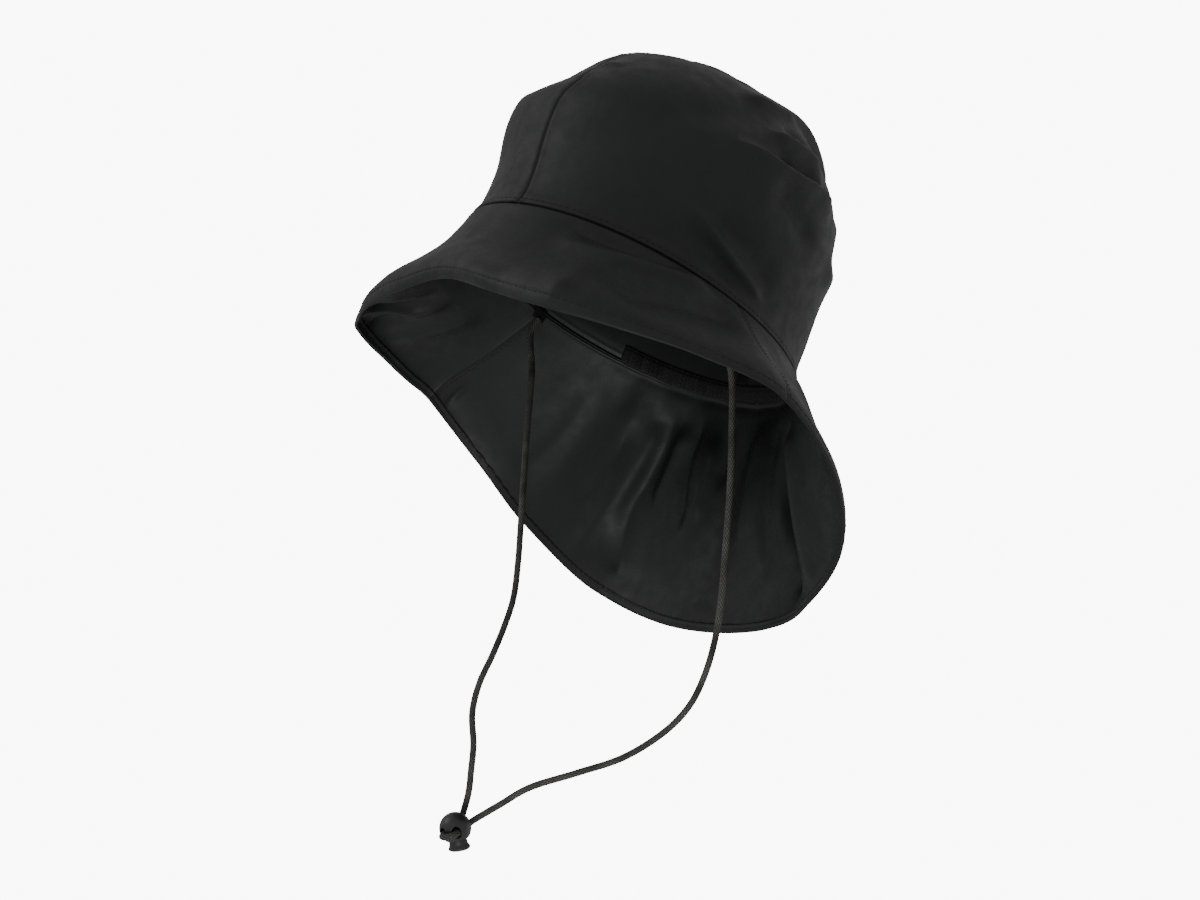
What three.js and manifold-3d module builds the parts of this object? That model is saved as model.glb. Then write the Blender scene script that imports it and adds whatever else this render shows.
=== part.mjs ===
// A waterproof rain hat: two crown panels, a short front brim, a long neck flap and a chin cord with a toggle.
// Millimetres, +Z up, front toward -Y, wearer's left toward +X. The origin is the centre of the head opening.
import * as THREE from "three";
import { mergeVertices } from "three/addons/utils/BufferGeometryUtils.js";
import Module from "manifold-3d";

const wasm = await Module();
wasm.setup();
const degrees = Math.PI / 180;

// Driving dimensions
const headWidth = 174;
const headDepth = 202;
const crownHeight = 138;
const sideReach = 74;
const flapDrop = 126.5;
const clothWall = 1.5;
const seamGap = 0.3;
const hemBand = 8;
const hemExtra = 0.7;
const ridgeWidth = 5;
const ridgeExtra = 0.7;
const tipBack = 8.3 * degrees;
const sideJointAngle = 91;
const foldDepth = 5;
const dentDepth = 7;
const gatherDepth = 1.3;
const gatherCount = 30;

// Casing, patch and label inside the back of the head opening
const casingHeight = 8.5;
const casingRise = 0.5;
const casingSeat = 0.8;
const casingWall = 1.1;
const casingPuff = 1.1;
const casingFrom = 122;
const patchHalfWidth = 25;
const patchWall = 1.0;
const labelWidth = 9;
const labelHeight = 6;
const labelWall = 0.6;
const labelOffset = -19;
const labelRise = casingRise + casingHeight + 0.4;

// Chin cord, its tabs and the toggle
const cordDiameter = 3.5;
const tabWidth = 11;
const tabDrop = 9;
const tabWall = 1.2;
const tabTop = 0.8;
const tabBulge = 0.4;
const cordStartGap = 0.4;
const cordLead = 6;
const ballRadius = 8.25;
const ballCut = 5.6;
const holeSpacing = 7.4;
const holeWidth = 4.4;
const holeHeight = 6.5;
const boreHalfWidth = 5.2;
const boreHalfDepth = 4.2;
const boreTop = 4.6;
const slideClearance = 0.3;
const pressTravel = 2;
const buttonBottom = 11.7;
const buttonFlare = 1.0;
const stemWidth = 3.0;
const barThickness = 1.25;
const cordLevel = -1.0;
const loopSeat = 7.8;
const toggleDrop = 289.4;
const toggleFace = new THREE.Vector3(0.53, -0.7, -0.47).normalize();
const toggleDown = new THREE.Vector3(0.02, 0.59, -0.81).normalize();

// Crown sections from the head line up: height as a share of crownHeight, size as a share of the head oval,
// shift toward the front as a share of headDepth
const crownSections = [
  { height: 0, size: 1, shift: 0 },
  { height: 0.06, size: 0.972, shift: 0.004 },
  { height: 0.19, size: 0.968, shift: 0.01 },
  { height: 0.37, size: 0.968, shift: 0.026 },
  { height: 0.5, size: 0.955, shift: 0.039 },
  { height: 0.63, size: 0.885, shift: 0.035 },
  { height: 0.76, size: 0.745, shift: 0.026 },
  { height: 0.87, size: 0.56, shift: 0.026 },
  { height: 0.945, size: 0.375, shift: 0.036 },
  { height: 0.985, size: 0.2, shift: 0.046 },
  { height: 1, size: 0, shift: 0.055 },
];

// Hem of brim and flap around the hat, the same on both sides: angle from the front in degrees,
// reach outside the head line as a share of sideReach, drop below it as a share of flapDrop, and how far
// the cloth bellies out on the way as a share of that way
const hemOutline = [
  { angle: 0, reach: 0.11, drop: 0.41, belly: 0.1 },
  { angle: 25, reach: 0.25, drop: 0.47, belly: 0.1 },
  { angle: 42, reach: 0.52, drop: 0.515, belly: 0.1 },
  { angle: 57, reach: 0.66, drop: 0.5, belly: 0.08 },
  { angle: 72, reach: 0.81, drop: 0.46, belly: 0.06 },
  { angle: 84, reach: 0.95, drop: 0.44, belly: 0.05 },
  { angle: 91, reach: 0.98, drop: 0.445, belly: 0.045 },
  { angle: 107, reach: 1.05, drop: 0.555, belly: 0.035 },
  { angle: 121, reach: 0.98, drop: 0.715, belly: 0.03 },
  { angle: 142, reach: 0.72, drop: 0.9, belly: 0.025 },
  { angle: 180, reach: 0.37, drop: 1, belly: 0.02 },
];

// Dents and folds of the crown: angle and half width in degrees, level and half height as shares of the
// crown's profile, tilt in profile per degree, depth as a share of dentDepth, inward when negative
const crownDents = [
  { angle: 150, span: 30, level: 0.66, spread: 0.06, tilt: -0.0035, depth: 0.95 },
  { angle: 152, span: 24, level: 0.56, spread: 0.035, tilt: -0.0035, depth: -0.6 },
  { angle: 128, span: 20, level: 0.84, spread: 0.05, tilt: -0.003, depth: 0.5 },
  { angle: 132, span: 22, level: 0.77, spread: 0.04, tilt: -0.003, depth: -0.5 },
  { angle: 60, span: 30, level: 0.42, spread: 0.07, tilt: 0.006, depth: -0.35 },
  { angle: 142, span: 50, level: 0.9, spread: 0.07, tilt: 0, depth: -1.0 },
  { angle: 148, span: 40, level: 0.76, spread: 0.06, tilt: 0, depth: 0.8 },
  { angle: 328, span: 50, level: 0.52, spread: 0.12, tilt: 0, depth: 0.35 },
  { angle: 328, span: 50, level: 0.78, spread: 0.1, tilt: 0, depth: -0.45 },
  { angle: 350, span: 26, level: 0.47, spread: 0.1, tilt: 0, depth: -0.95 },
  { angle: 336, span: 20, level: 0.28, spread: 0.08, tilt: 0, depth: 0.45 },
  { angle: 50, span: 36, level: 0.79, spread: 0.08, tilt: 0, depth: -0.85 },
  { angle: 300, span: 40, level: 0.62, spread: 0.1, tilt: 0.002, depth: -0.35 },
  { angle: 235, span: 30, level: 0.68, spread: 0.08, tilt: 0.003, depth: -0.5 },
];

// Soft folds of brim and flap: angle and half width in degrees, depth as a share of foldDepth,
// from and to as shares of the way from head line to hem
const skirtFolds = [
  { angle: -58, span: 7, depth: 0.6, from: 0.35, to: 1.3 },
  { angle: -43, span: 6, depth: -0.7, from: 0.3, to: 1.3 },
  { angle: -26, span: 7, depth: 0.4, from: 0.3, to: 1.2 },
  { angle: 30, span: 9, depth: -0.35, from: -0.1, to: 0.8 },
  { angle: 52, span: 10, depth: 0.4, from: 0.1, to: 1.1 },
  { angle: 77, span: 8, depth: -0.35, from: 0.1, to: 1.1 },
  { angle: 104, span: 7, depth: -0.6, from: 0.0, to: 1.0 },
  { angle: 122, span: 8, depth: 0.7, from: 0.05, to: 1.1 },
  { angle: 139, span: 6, depth: -1.0, from: 0.02, to: 1.05 },
  { angle: 153, span: 6, depth: 0.7, from: 0.05, to: 1.0 },
  { angle: 168, span: 6, depth: -0.6, from: 0.0, to: 0.85 },
  { angle: 183, span: 6, depth: 0.6, from: 0.0, to: 0.9 },
  { angle: 197, span: 5, depth: -0.7, from: 0.0, to: 0.8 },
  { angle: 211, span: 6, depth: 0.7, from: 0.0, to: 0.9 },
  { angle: 224, span: 5, depth: -0.6, from: 0.0, to: 0.8 },
  { angle: 238, span: 7, depth: 0.5, from: 0.0, to: 0.9 },
  { angle: 254, span: 7, depth: -0.4, from: 0.1, to: 1.0 },
];

// Routes of the two hanging strands between tab and toggle, chosen by hand
const leftStrand = [
  [84.5, 13, -33], [85.5, 24, -60], [85.5, 34.5, -88], [84.5, 44.5, -117], [83, 53, -141], [81, 58.5, -160.5],
  [78, 61.5, -179], [74, 61.5, -195], [67, 58, -210], [54, 47.5, -229.5], [38.5, 33.5, -244.5],
  [22.5, 19.5, -259], [11, 14, -271],
];
const rightStrand = [
  [-75.5, 1, -36], [-63.5, 3, -70], [-51.5, 5.5, -104], [-43.5, 7, -126], [-36.5, 8, -145], [-30, 8, -164],
  [-26.5, 6, -180], [-23, 2.5, -197], [-20, -1.5, -214], [-15, -3, -230], [-8, -0.5, -246],
  [-4, 0.5, -259], [-4, 3.5, -270.5],
];

// Smooth value of one column of a table at a place of its first column
function along(table, place, column) {
  const key = Object.keys(table[0])[0];
  const last = table.length - 1;
  let i = 0;
  while (i < last - 1 && place > table[i + 1][key]) i += 1;
  const span = table[i + 1][key] - table[i][key];
  const slope = (k) => {
    const before = table[Math.max(k - 1, 0)];
    const after = table[Math.min(k + 1, last)];
    return k === 0 || k === last ? 0 : (after[column] - before[column]) / (after[key] - before[key]);
  };
  const s = Math.min(Math.max((place - table[i][key]) / span, 0), 1);
  const a = table[i][column];
  const b = table[i + 1][column];
  const rise = s * s * (3 - 2 * s);
  return a + (b - a) * rise + span * (slope(i) * s * (1 - s) ** 2 - slope(i + 1) * s * s * (1 - s));
}

// Difference of two angles in degrees, between -180 and 180
function turnBetween(a, b) {
  return ((a - b + 540) % 360) - 180;
}

// A closed sheet between an outer and an inner grid of points; a row whose points are all alike is a pole
function closedSheet(outer, inner) {
  const positions = [];
  const index = [];
  const rows = outer.length;
  const columns = outer[0].length;
  for (const grid of [outer, inner]) for (const row of grid) for (const p of row) positions.push(p.x, p.y, p.z);
  const at = (side, r, c) => (side * rows + r) * columns + c;
  const quad = (a, b, c, d) => index.push(a, b, c, a, c, d);
  for (let r = 0; r < rows - 1; r += 1) {
    for (let c = 0; c < columns - 1; c += 1) {
      quad(at(0, r, c), at(0, r, c + 1), at(0, r + 1, c + 1), at(0, r + 1, c));
      quad(at(1, r, c), at(1, r + 1, c), at(1, r + 1, c + 1), at(1, r, c + 1));
    }
    quad(at(0, r, 0), at(0, r + 1, 0), at(1, r + 1, 0), at(1, r, 0));
    const c = columns - 1;
    quad(at(0, r, c), at(1, r, c), at(1, r + 1, c), at(0, r + 1, c));
  }
  for (let c = 0; c < columns - 1; c += 1) {
    const r = rows - 1;
    quad(at(0, 0, c), at(1, 0, c), at(1, 0, c + 1), at(0, 0, c + 1));
    quad(at(0, r, c), at(0, r, c + 1), at(1, r, c + 1), at(1, r, c));
  }
  return welded(positions, index);
}

// One geometry with shared corners merged and triangles without area left out
function welded(positions, index) {
  const loose = new THREE.BufferGeometry();
  loose.setAttribute("position", new THREE.Float32BufferAttribute(positions, 3));
  loose.setIndex(index);
  const merged = mergeVertices(loose, 1e-4);
  const kept = [];
  const all = merged.getIndex().array;
  for (let i = 0; i < all.length; i += 3) {
    const [a, b, c] = [all[i], all[i + 1], all[i + 2]];
    if (a !== b && b !== c && c !== a) kept.push(a, b, c);
  }
  merged.setIndex(kept);
  merged.computeVertexNormals();
  return merged;
}

// Solids for cutting and joining
function toManifold(geometry) {
  const bare = geometry.clone();
  bare.deleteAttribute("normal");
  bare.deleteAttribute("uv");
  const merged = mergeVertices(bare, 1e-4);
  const vertProperties = Float32Array.from(merged.getAttribute("position").array);
  const triVerts = Uint32Array.from(merged.getIndex().array);
  return new wasm.Manifold(new wasm.Mesh({ numProp: 3, vertProperties, triVerts }));
}

function fromManifold(solid) {
  const mesh = solid.getMesh();
  return welded(Array.from(mesh.vertProperties), Array.from(mesh.triVerts));
}

function cloth(color, roughness) {
  return new THREE.MeshStandardMaterial({ color, roughness, metalness: 0 });
}

function piece(name, geometry, material) {
  const mesh = new THREE.Mesh(geometry, material);
  mesh.name = name;
  return mesh;
}

// Radius of the head oval in plan at an angle from the front
function headRadius(angle, inset = 0) {
  const across = Math.sin(angle * degrees) / (headWidth / 2 - inset);
  const deep = Math.cos(angle * degrees) / (headDepth / 2 - inset);
  return 1 / Math.hypot(across, deep);
}

// Point of the crown at an angle and a share of its profile from head line to top
function crownPoint(angle, share, inset, halfGap, side) {
  const height = along(crownProfile, share, "height");
  const size = Math.max(along(crownProfile, share, "size"), 0);
  const shift = along(crownProfile, share, "shift") * headDepth;
  const x = Math.sin(angle * degrees) * (headWidth / 2 - inset) * size;
  const y = -Math.cos(angle * degrees) * (headDepth / 2 - inset) * size;
  const z = seamGap / 2 + height * (crownHeight - inset - seamGap / 2);
  let dent = 0;
  for (const fold of crownDents) {
    const turn = turnBetween(angle, fold.angle);
    const level = (share - fold.level - fold.tilt * turn) / fold.spread;
    dent += fold.depth * dentDepth * Math.exp(-((turn / fold.span) ** 2) - level * level);
  }
  dent *= THREE.MathUtils.smoothstep(share, 0, 0.08) * (1 - THREE.MathUtils.smoothstep(share, 0.9, 1));
  const fromAxis = new THREE.Vector3(x, y, z - crownHeight * 0.3).normalize();
  const point = new THREE.Vector3(x, y - shift, z).addScaledVector(fromAxis, dent);
  point.x = side * Math.max(Math.abs(point.x) * (1 - halfGap / (headWidth / 2)) + halfGap, halfGap);
  return point;
}

// Length of the crown's profile from the head line to each of its sections
const profileRuns = crownSections.reduce((runs, section, i) => {
  if (i === 0) return [0];
  const before = crownSections[i - 1];
  const inward = ((section.size - before.size) * headDepth) / 2;
  return [...runs, runs[i - 1] + Math.hypot(inward, (section.height - before.height) * crownHeight)];
}, []);
const profileLength = profileRuns[profileRuns.length - 1];
const crownProfile = crownSections.map((section, i) => ({ share: profileRuns[i] / profileLength, ...section }));

// One side panel of the crown, with a raised seam allowance of even width along the centre seam
function crownPanel(side) {
  const rowCount = 18;
  const between = 20;
  const grid = (inset, ridge) =>
    Array.from({ length: rowCount + 1 }, (_, r) => {
      const size = along(crownProfile, r / rowCount, "size");
      const edge = Math.min(ridgeWidth / (headWidth / 2) / Math.max(size, 0.1) / degrees, 26);
      const turns = [0, edge];
      for (let c = 0; c <= between; c += 1) turns.push(edge * 1.12 + ((180 - 2.24 * edge) * c) / between);
      turns.push(180 - edge, 180);
      return turns.map((turn, c) => {
        const raised = (c < 2 || c > between + 2) && r < rowCount ? ridge : 0;
        return crownPoint(side > 0 ? turn : 360 - turn, r / rowCount, inset - raised, seamGap / 2, side);
      });
    });
  const outer = grid(0, ridgeExtra);
  const inner = grid(clothWall, 0);
  return side > 0 ? closedSheet(outer, inner) : closedSheet(inner, outer);
}

// The two sheets below the head line meet at the side joints
const jointGap = seamGap / 2 / (headWidth / 2) / degrees;
const brim = { from: -sideJointAngle + jointGap, to: sideJointAngle - jointGap, columns: 44, rows: 7 };
const flap = { from: sideJointAngle + jointGap, to: 360 - sideJointAngle - jointGap, columns: 60, rows: 9 };

// Where brim and flap run: plan radius and height at an angle and a share of the way to the hem
function skirtSection(angle, share) {
  const mirrored = Math.abs(turnBetween(angle, 0));
  const reach = along(hemOutline, mirrored, "reach") * sideReach;
  const drop = along(hemOutline, mirrored, "drop") * flapDrop;
  const belly = along(hemOutline, mirrored, "belly") * 15 * share ** 5 * (1 - share);
  return {
    radius: headRadius(angle) + reach * share + belly * drop,
    height: -seamGap / 2 - drop * share + belly * reach,
    length: Math.hypot(reach, drop),
    slope: new THREE.Vector2(drop, reach).normalize(),
  };
}

// Soft folds and gathers, outward from the plain surface
function skirtFold(angle, share) {
  let rise = 0;
  for (const fold of skirtFolds) {
    const turn = turnBetween(angle, fold.angle) / fold.span;
    const middle = (fold.from + fold.to) / 2;
    const reach = (share - middle) / ((fold.to - fold.from) / 2);
    const window = Math.max(1 - reach * reach, 0);
    rise += fold.depth * foldDepth * Math.exp(-turn * turn) * window;
  }
  const fromBack = Math.abs(turnBetween(angle, 180));
  const gathered = THREE.MathUtils.smoothstep(180 - casingFrom - fromBack, 0, 12);
  const ripple = Math.cos(angle * degrees * gatherCount) * gatherDepth * gathered;
  return rise * THREE.MathUtils.smoothstep(share, 0, 0.25) + ripple * share * 9 * Math.exp(-share * 9);
}

function skirtPoint(angle, share, inset) {
  const { radius, height, slope } = skirtSection(angle, share);
  const lift = skirtFold(angle, share) - inset;
  const plan = radius + lift * slope.x;
  return new THREE.Vector3(
    Math.sin(angle * degrees) * plan,
    -Math.cos(angle * degrees) * plan,
    height + lift * slope.y,
  );
}

// Share of the way to the hem at which a row of the sheet lies, with the last two rows on the hem's band
function rowShare(angle, row, rowCount) {
  const band = 1 - hemBand / skirtSection(angle, 0.5).length;
  if (row === rowCount) return 1;
  return row === rowCount - 1 ? band + 0.02 : (band * row) / (rowCount - 2);
}

// Brim or flap as one sheet from head line to hem, with a thicker turned hem
function skirtPanel({ from, to, columns, rows }) {
  const turns = Array.from({ length: columns + 1 }, (_, c) => from + ((to - from) * c) / columns);
  const grid = (inset, extra) =>
    Array.from({ length: rows + 1 }, (_, r) =>
      turns.map((angle) => skirtPoint(angle, rowShare(angle, r, rows), inset + (r > rows - 2 ? extra : 0))),
    );
  return closedSheet(grid(clothWall, hemExtra / 2), grid(0, -hemExtra / 2));
}

// Point inside the crown's wall at a rise above the head line, with the crown's own dents
function insideCrown(angle, rise, inset) {
  const side = Math.sin(angle * degrees) < 0 ? -1 : 1;
  return crownPoint(angle, rise / profileLength, inset, 0, side);
}

// Half of the gathered elastic casing inside the back of the crown
function casing(from, to) {
  const count = 46;
  const rows = 3;
  const grid = (inner) =>
    Array.from({ length: rows + 1 }, (_, r) =>
      Array.from({ length: count + 1 }, (_, c) => {
        const angle = from + ((to - from) * c) / count;
        const puffed = inner && r > 0 && r < rows;
        const puff = puffed ? casingPuff * (0.5 + 0.5 * Math.cos(Math.PI * c)) : 0;
        const inset = clothWall + casingSeat + (inner ? casingWall + puff : 0);
        return insideCrown(angle, casingRise + (casingHeight * r) / rows, inset);
      }),
    );
  return closedSheet(grid(false), grid(true));
}

// Plain stitched patch that covers the meeting ends of the casing
function backPatch(halfTurn) {
  const count = 8;
  const grid = (inset) =>
    [0, 0.5, 1].map((r) =>
      Array.from({ length: count + 1 }, (_, c) => {
        const angle = 180 - halfTurn + (2 * halfTurn * c) / count;
        return insideCrown(angle, casingRise + casingHeight * r, inset);
      }),
    );
  const seat = clothWall + casingSeat;
  return closedSheet(grid(seat), grid(seat + patchWall));
}

// Bare label sewn flat inside the crown, just above the patch
function innerLabel() {
  const seat = clothWall + casingSeat;
  const grid = (inset) =>
    [labelRise, labelRise + labelHeight].map((rise) =>
      [-0.5, 0, 0.5].map((c) => {
        const angle = 180 - (labelOffset - c * labelWidth) / (headDepth / 2) / degrees;
        return insideCrown(angle, rise, inset);
      }),
    );
  return closedSheet(grid(seat), grid(seat + labelWall));
}

const tabCentre = headWidth / 2 - clothWall - seamGap - tabBulge - tabWall / 2;

// Folded tape tab sewn in at the head line, which holds one end of the chin cord
function cordTab(side) {
  const shape = new THREE.BoxGeometry(tabWall, tabWidth, tabDrop);
  shape.translate(side * tabCentre, 0, tabTop - tabDrop / 2);
  return shape;
}

function tube(points) {
  const curve = new THREE.CatmullRomCurve3(points, false, "centripetal");
  const section = new THREE.Shape();
  const radius = cordDiameter / 2;
  const corners = 8;
  for (let i = 0; i < corners; i += 1) {
    const angle = (2 * Math.PI * i) / corners;
    const place = [Math.cos(angle) * radius, Math.sin(angle) * radius];
    if (i === 0) section.moveTo(...place);
    else section.lineTo(...place);
  }
  const steps = Math.min(Math.round(curve.getLength() / (2.2 * cordDiameter)), 80);
  return new THREE.ExtrudeGeometry(section, { steps, extrudePath: curve, bevelEnabled: false });
}

// The toggle's own frame: x across the two holes, y toward their face, z away from the button
const toggleUp = toggleDown.clone().negate();
const toggleAcross = new THREE.Vector3().crossVectors(toggleFace, toggleUp).normalize();
const toggleFacing = new THREE.Vector3().crossVectors(toggleUp, toggleAcross).normalize();
const toggleFrame = new THREE.Matrix4().makeBasis(toggleAcross, toggleFacing, toggleUp);
toggleFrame.setPosition(0, 0, -toggleDrop);

function inToggle(x, y, z) {
  return new THREE.Vector3(x, y, z).applyMatrix4(toggleFrame);
}

// Oval column between two heights of the toggle, with half sizes at its foot and head
function ovalColumn(foot, head, footHalf, headHalf) {
  const shape = new THREE.CylinderGeometry(1, 1, head - foot, 24, 1);
  shape.rotateX(Math.PI / 2);
  shape.translate(0, 0, (head + foot) / 2);
  const points = shape.getAttribute("position");
  for (let i = 0; i < points.count; i += 1) {
    const half = points.getZ(i) > (head + foot) / 2 ? headHalf : footHalf;
    points.setXY(i, points.getX(i) * half[0], points.getY(i) * half[1]);
  }
  return toManifold(shape);
}

function toggleBody() {
  const ball = toManifold(new THREE.SphereGeometry(ballRadius, 28, 18).rotateX(Math.PI / 2));
  const floor = new THREE.BoxGeometry(4 * ballRadius, 4 * ballRadius, ballRadius);
  floor.translate(0, 0, -ballCut - ballRadius / 2);
  let body = ball.subtract(toManifold(floor));
  const boreHalf = [boreHalfWidth, boreHalfDepth];
  body = body.subtract(ovalColumn(-ballRadius - 1, boreTop, boreHalf, boreHalf));
  for (const side of [-1, 1]) {
    const slot = new THREE.CylinderGeometry(1, 1, 4 * ballRadius, 20, 1);
    slot.scale(holeWidth / 2, 1, holeHeight / 2);
    slot.translate((side * holeSpacing) / 2, 0, cordLevel + 0.4);
    body = body.subtract(toManifold(slot));
  }
  return fromManifold(body);
}

function toggleButton() {
  const wide = [boreHalfWidth - slideClearance, boreHalfDepth - slideClearance];
  const flared = [wide[0] + buttonFlare, wide[1] + buttonFlare];
  const shoulder = cordLevel - cordDiameter / 2 - slideClearance - pressTravel;
  const neck = -ballCut - pressTravel - slideClearance;
  const barFoot = cordLevel + cordDiameter / 2 + slideClearance;
  const rounded = [flared[0] - 1.2, flared[1] - 1.2];
  const heel = -buttonBottom + 1;
  const stem = new THREE.BoxGeometry(stemWidth, 2 * wide[1] - 1.4, barFoot + barThickness - shoulder + 0.5);
  stem.translate(0, 0, (barFoot + barThickness + shoulder - 0.5) / 2);
  const bar = new THREE.BoxGeometry(2 * wide[0] - 2.4, 2 * wide[1] - 3.4, barThickness);
  bar.translate(0, 0, barFoot + barThickness / 2);
  const button = ovalColumn(neck, shoulder, wide, wide)
    .add(ovalColumn(heel, neck, flared, wide))
    .add(ovalColumn(-buttonBottom, heel, rounded, flared))
    .add(toManifold(stem))
    .add(toManifold(bar));
  return fromManifold(button);
}

// One strand from its tab to just inside the toggle's face
function strand(route, side) {
  const hole = (-side * holeSpacing) / 2;
  const lead = [cordStartGap, cordStartGap + cordLead].map((drop) =>
    new THREE.Vector3(side * tabCentre, 0, tabTop - tabDrop - drop).applyAxisAngle(new THREE.Vector3(1, 0, 0), -tipBack),
  );
  const points = [...lead, ...route.map((p) => new THREE.Vector3(...p))];
  for (const depth of [-13, -9, 0, loopSeat - seamGap]) points.push(inToggle(hole, depth, cordLevel));
  return tube(points);
}

// The short bight of cord between the two holes on the toggle's face
function cordEndLoop() {
  const radius = holeSpacing / 2;
  const points = [];
  for (let step = 0; step <= 8; step += 1) {
    const angle = (Math.PI * step) / 8;
    points.push(inToggle(-radius * Math.cos(angle), loopSeat + radius * Math.sin(angle), cordLevel));
  }
  return tube(points);
}

const shellBlack = cloth("#1e1f21", 0.62);
const tapeBlack = cloth("#18191b", 0.8);
const cordBlack = cloth("#232420", 0.85);
const plasticBlack = cloth("#161718", 0.45);
const patchHalfTurn = patchHalfWidth / (headDepth / 2) / degrees;
const casingEnd = 180 - patchHalfTurn - 0.4;

const hat = new THREE.Group();
hat.rotation.x = -tipBack;
hat.add(piece("crown_left_panel", crownPanel(1), shellBlack.clone()));
hat.add(piece("crown_right_panel", crownPanel(-1), shellBlack.clone()));
hat.add(piece("front_brim", skirtPanel(brim), shellBlack.clone()));
hat.add(piece("neck_flap", skirtPanel(flap), shellBlack.clone()));
hat.add(piece("back_casing_left", casing(casingFrom, casingEnd), tapeBlack.clone()));
hat.add(piece("back_casing_right", casing(360 - casingEnd, 360 - casingFrom), tapeBlack.clone()));
hat.add(piece("back_patch", backPatch(patchHalfTurn), tapeBlack.clone()));
hat.add(piece("inner_label", innerLabel(), tapeBlack.clone()));
hat.add(piece("cord_tab_left", cordTab(1), tapeBlack.clone()));
hat.add(piece("cord_tab_right", cordTab(-1), tapeBlack.clone()));

const toggle = new THREE.Group();
toggle.applyMatrix4(toggleFrame);
toggle.add(piece("toggle_body", toggleBody(), plasticBlack.clone()));
toggle.add(piece("toggle_button", toggleButton(), plasticBlack.clone()));

const part = new THREE.Group();
part.add(hat, toggle);
part.add(piece("chin_cord_left", strand(leftStrand, 1), cordBlack.clone()));
part.add(piece("chin_cord_right", strand(rightStrand, -1), cordBlack.clone()));
part.add(piece("cord_end_loop", cordEndLoop(), cordBlack.clone()));

export default part;
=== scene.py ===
import bpy
import numpy as np
from mathutils import Matrix


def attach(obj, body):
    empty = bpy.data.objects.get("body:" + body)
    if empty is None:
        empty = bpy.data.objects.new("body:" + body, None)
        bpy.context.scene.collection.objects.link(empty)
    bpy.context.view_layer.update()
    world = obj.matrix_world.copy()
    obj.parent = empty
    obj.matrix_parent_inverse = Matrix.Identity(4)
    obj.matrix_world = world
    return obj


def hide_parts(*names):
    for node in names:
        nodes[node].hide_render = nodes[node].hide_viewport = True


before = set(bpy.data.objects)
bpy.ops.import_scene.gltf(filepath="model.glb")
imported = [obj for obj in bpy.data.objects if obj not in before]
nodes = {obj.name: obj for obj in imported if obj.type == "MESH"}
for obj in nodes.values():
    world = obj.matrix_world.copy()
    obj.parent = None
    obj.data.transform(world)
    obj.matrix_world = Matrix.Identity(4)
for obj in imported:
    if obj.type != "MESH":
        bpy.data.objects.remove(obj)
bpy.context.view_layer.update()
scene = bpy.context.scene
print("frame loaded:", len(nodes), "nodes")

# ---- camera, as in the photograph ----
cameraSet = {
    "place": (1205.39, -807.60, -388.43),  # mm
    "right": (0.5868, 0.7462, 0.3145),
    "up": (-0.0171, -0.3770, 0.9261),
    "back": (0.8096, -0.5488, -0.2084),
    "lens": 84.97,  # on a 36 mm sensor
}
cameraData = bpy.data.cameras.new("hatCamera")
cameraData.lens = cameraSet["lens"]
cameraData.sensor_width = 36.0
cameraData.clip_start = 0.05
cameraData.clip_end = 60.0
camera = bpy.data.objects.new("hatCamera", cameraData)
scene.collection.objects.link(camera)
axes = Matrix((cameraSet["right"], cameraSet["up"], cameraSet["back"])).transposed().to_4x4()
axes.translation = [x / 1000 for x in cameraSet["place"]]
camera.matrix_world = axes
scene.camera = camera


# ---- meshes from grids ----
def hermite(table, column, place):
    # smooth value of one column of a table at places of its first column: cubic pieces with shared slopes
    keys = table[:, 0]
    values = table[:, column]
    place = np.clip(place, keys[0], keys[-1])
    slopes = np.zeros(len(keys))
    slopes[1:-1] = (values[2:] - values[:-2]) / (keys[2:] - keys[:-2])
    i = np.clip(np.searchsorted(keys, place, side="right") - 1, 0, len(keys) - 2)
    span = keys[i + 1] - keys[i]
    s = (place - keys[i]) / span
    rise = s * s * (3 - 2 * s)
    bend = slopes[i] * s * (1 - s) ** 2 - slopes[i + 1] * s * s * (1 - s)
    return values[i] + (values[i + 1] - values[i]) * rise + span * bend


def smooth(x, low, high):
    t = np.clip((x - low) / (high - low), 0, 1)
    return t * t * (3 - 2 * t)


def unit(v):
    return v / np.maximum(np.linalg.norm(v, axis=-1, keepdims=True), 1e-9)


def gridNormals(points):
    # at each point of a grid the cross product of its run along the row and its run across the rows
    return unit(np.cross(np.gradient(points, axis=1), np.gradient(points, axis=0)))


def hatTip(points):
    # the whole hat leans back about the x axis
    lean = np.radians(hat["tipBack"])
    y = points[..., 1] * np.cos(lean) + points[..., 2] * np.sin(lean)
    z = points[..., 2] * np.cos(lean) - points[..., 1] * np.sin(lean)
    return np.stack([points[..., 0], y, z], -1)


def addMesh(name, points, faces, materials=(), faceMaterial=None, uv=None, smoothFaces=True):
    # an object at the origin with its place in its mesh, in metres
    mesh = bpy.data.meshes.new(name)
    mesh.from_pydata((points / 1000).tolist(), [], faces)
    for material in materials:
        mesh.materials.append(material)
    if faceMaterial is not None:
        mesh.polygons.foreach_set("material_index", np.asarray(faceMaterial, np.int32))
    if smoothFaces:
        mesh.polygons.foreach_set("use_smooth", np.ones(len(mesh.polygons), bool))
    if uv is not None:
        corner = np.zeros(len(mesh.loops), np.int32)
        mesh.loops.foreach_get("vertex_index", corner)
        layer = mesh.uv_layers.new(name="cloth")
        layer.data.foreach_set("uv", uv[corner].astype(np.float32).ravel())
    mesh.validate()
    mesh.update()
    obj = bpy.data.objects.new(name, mesh)
    scene.collection.objects.link(obj)
    return obj


def quads(index, flip=False):
    a, b, c, d = index[:-1, :-1], index[:-1, 1:], index[1:, 1:], index[1:, :-1]
    found = np.stack([a, b, c, d], -1).reshape(-1, 4)
    return found[:, ::-1] if flip else found


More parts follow.
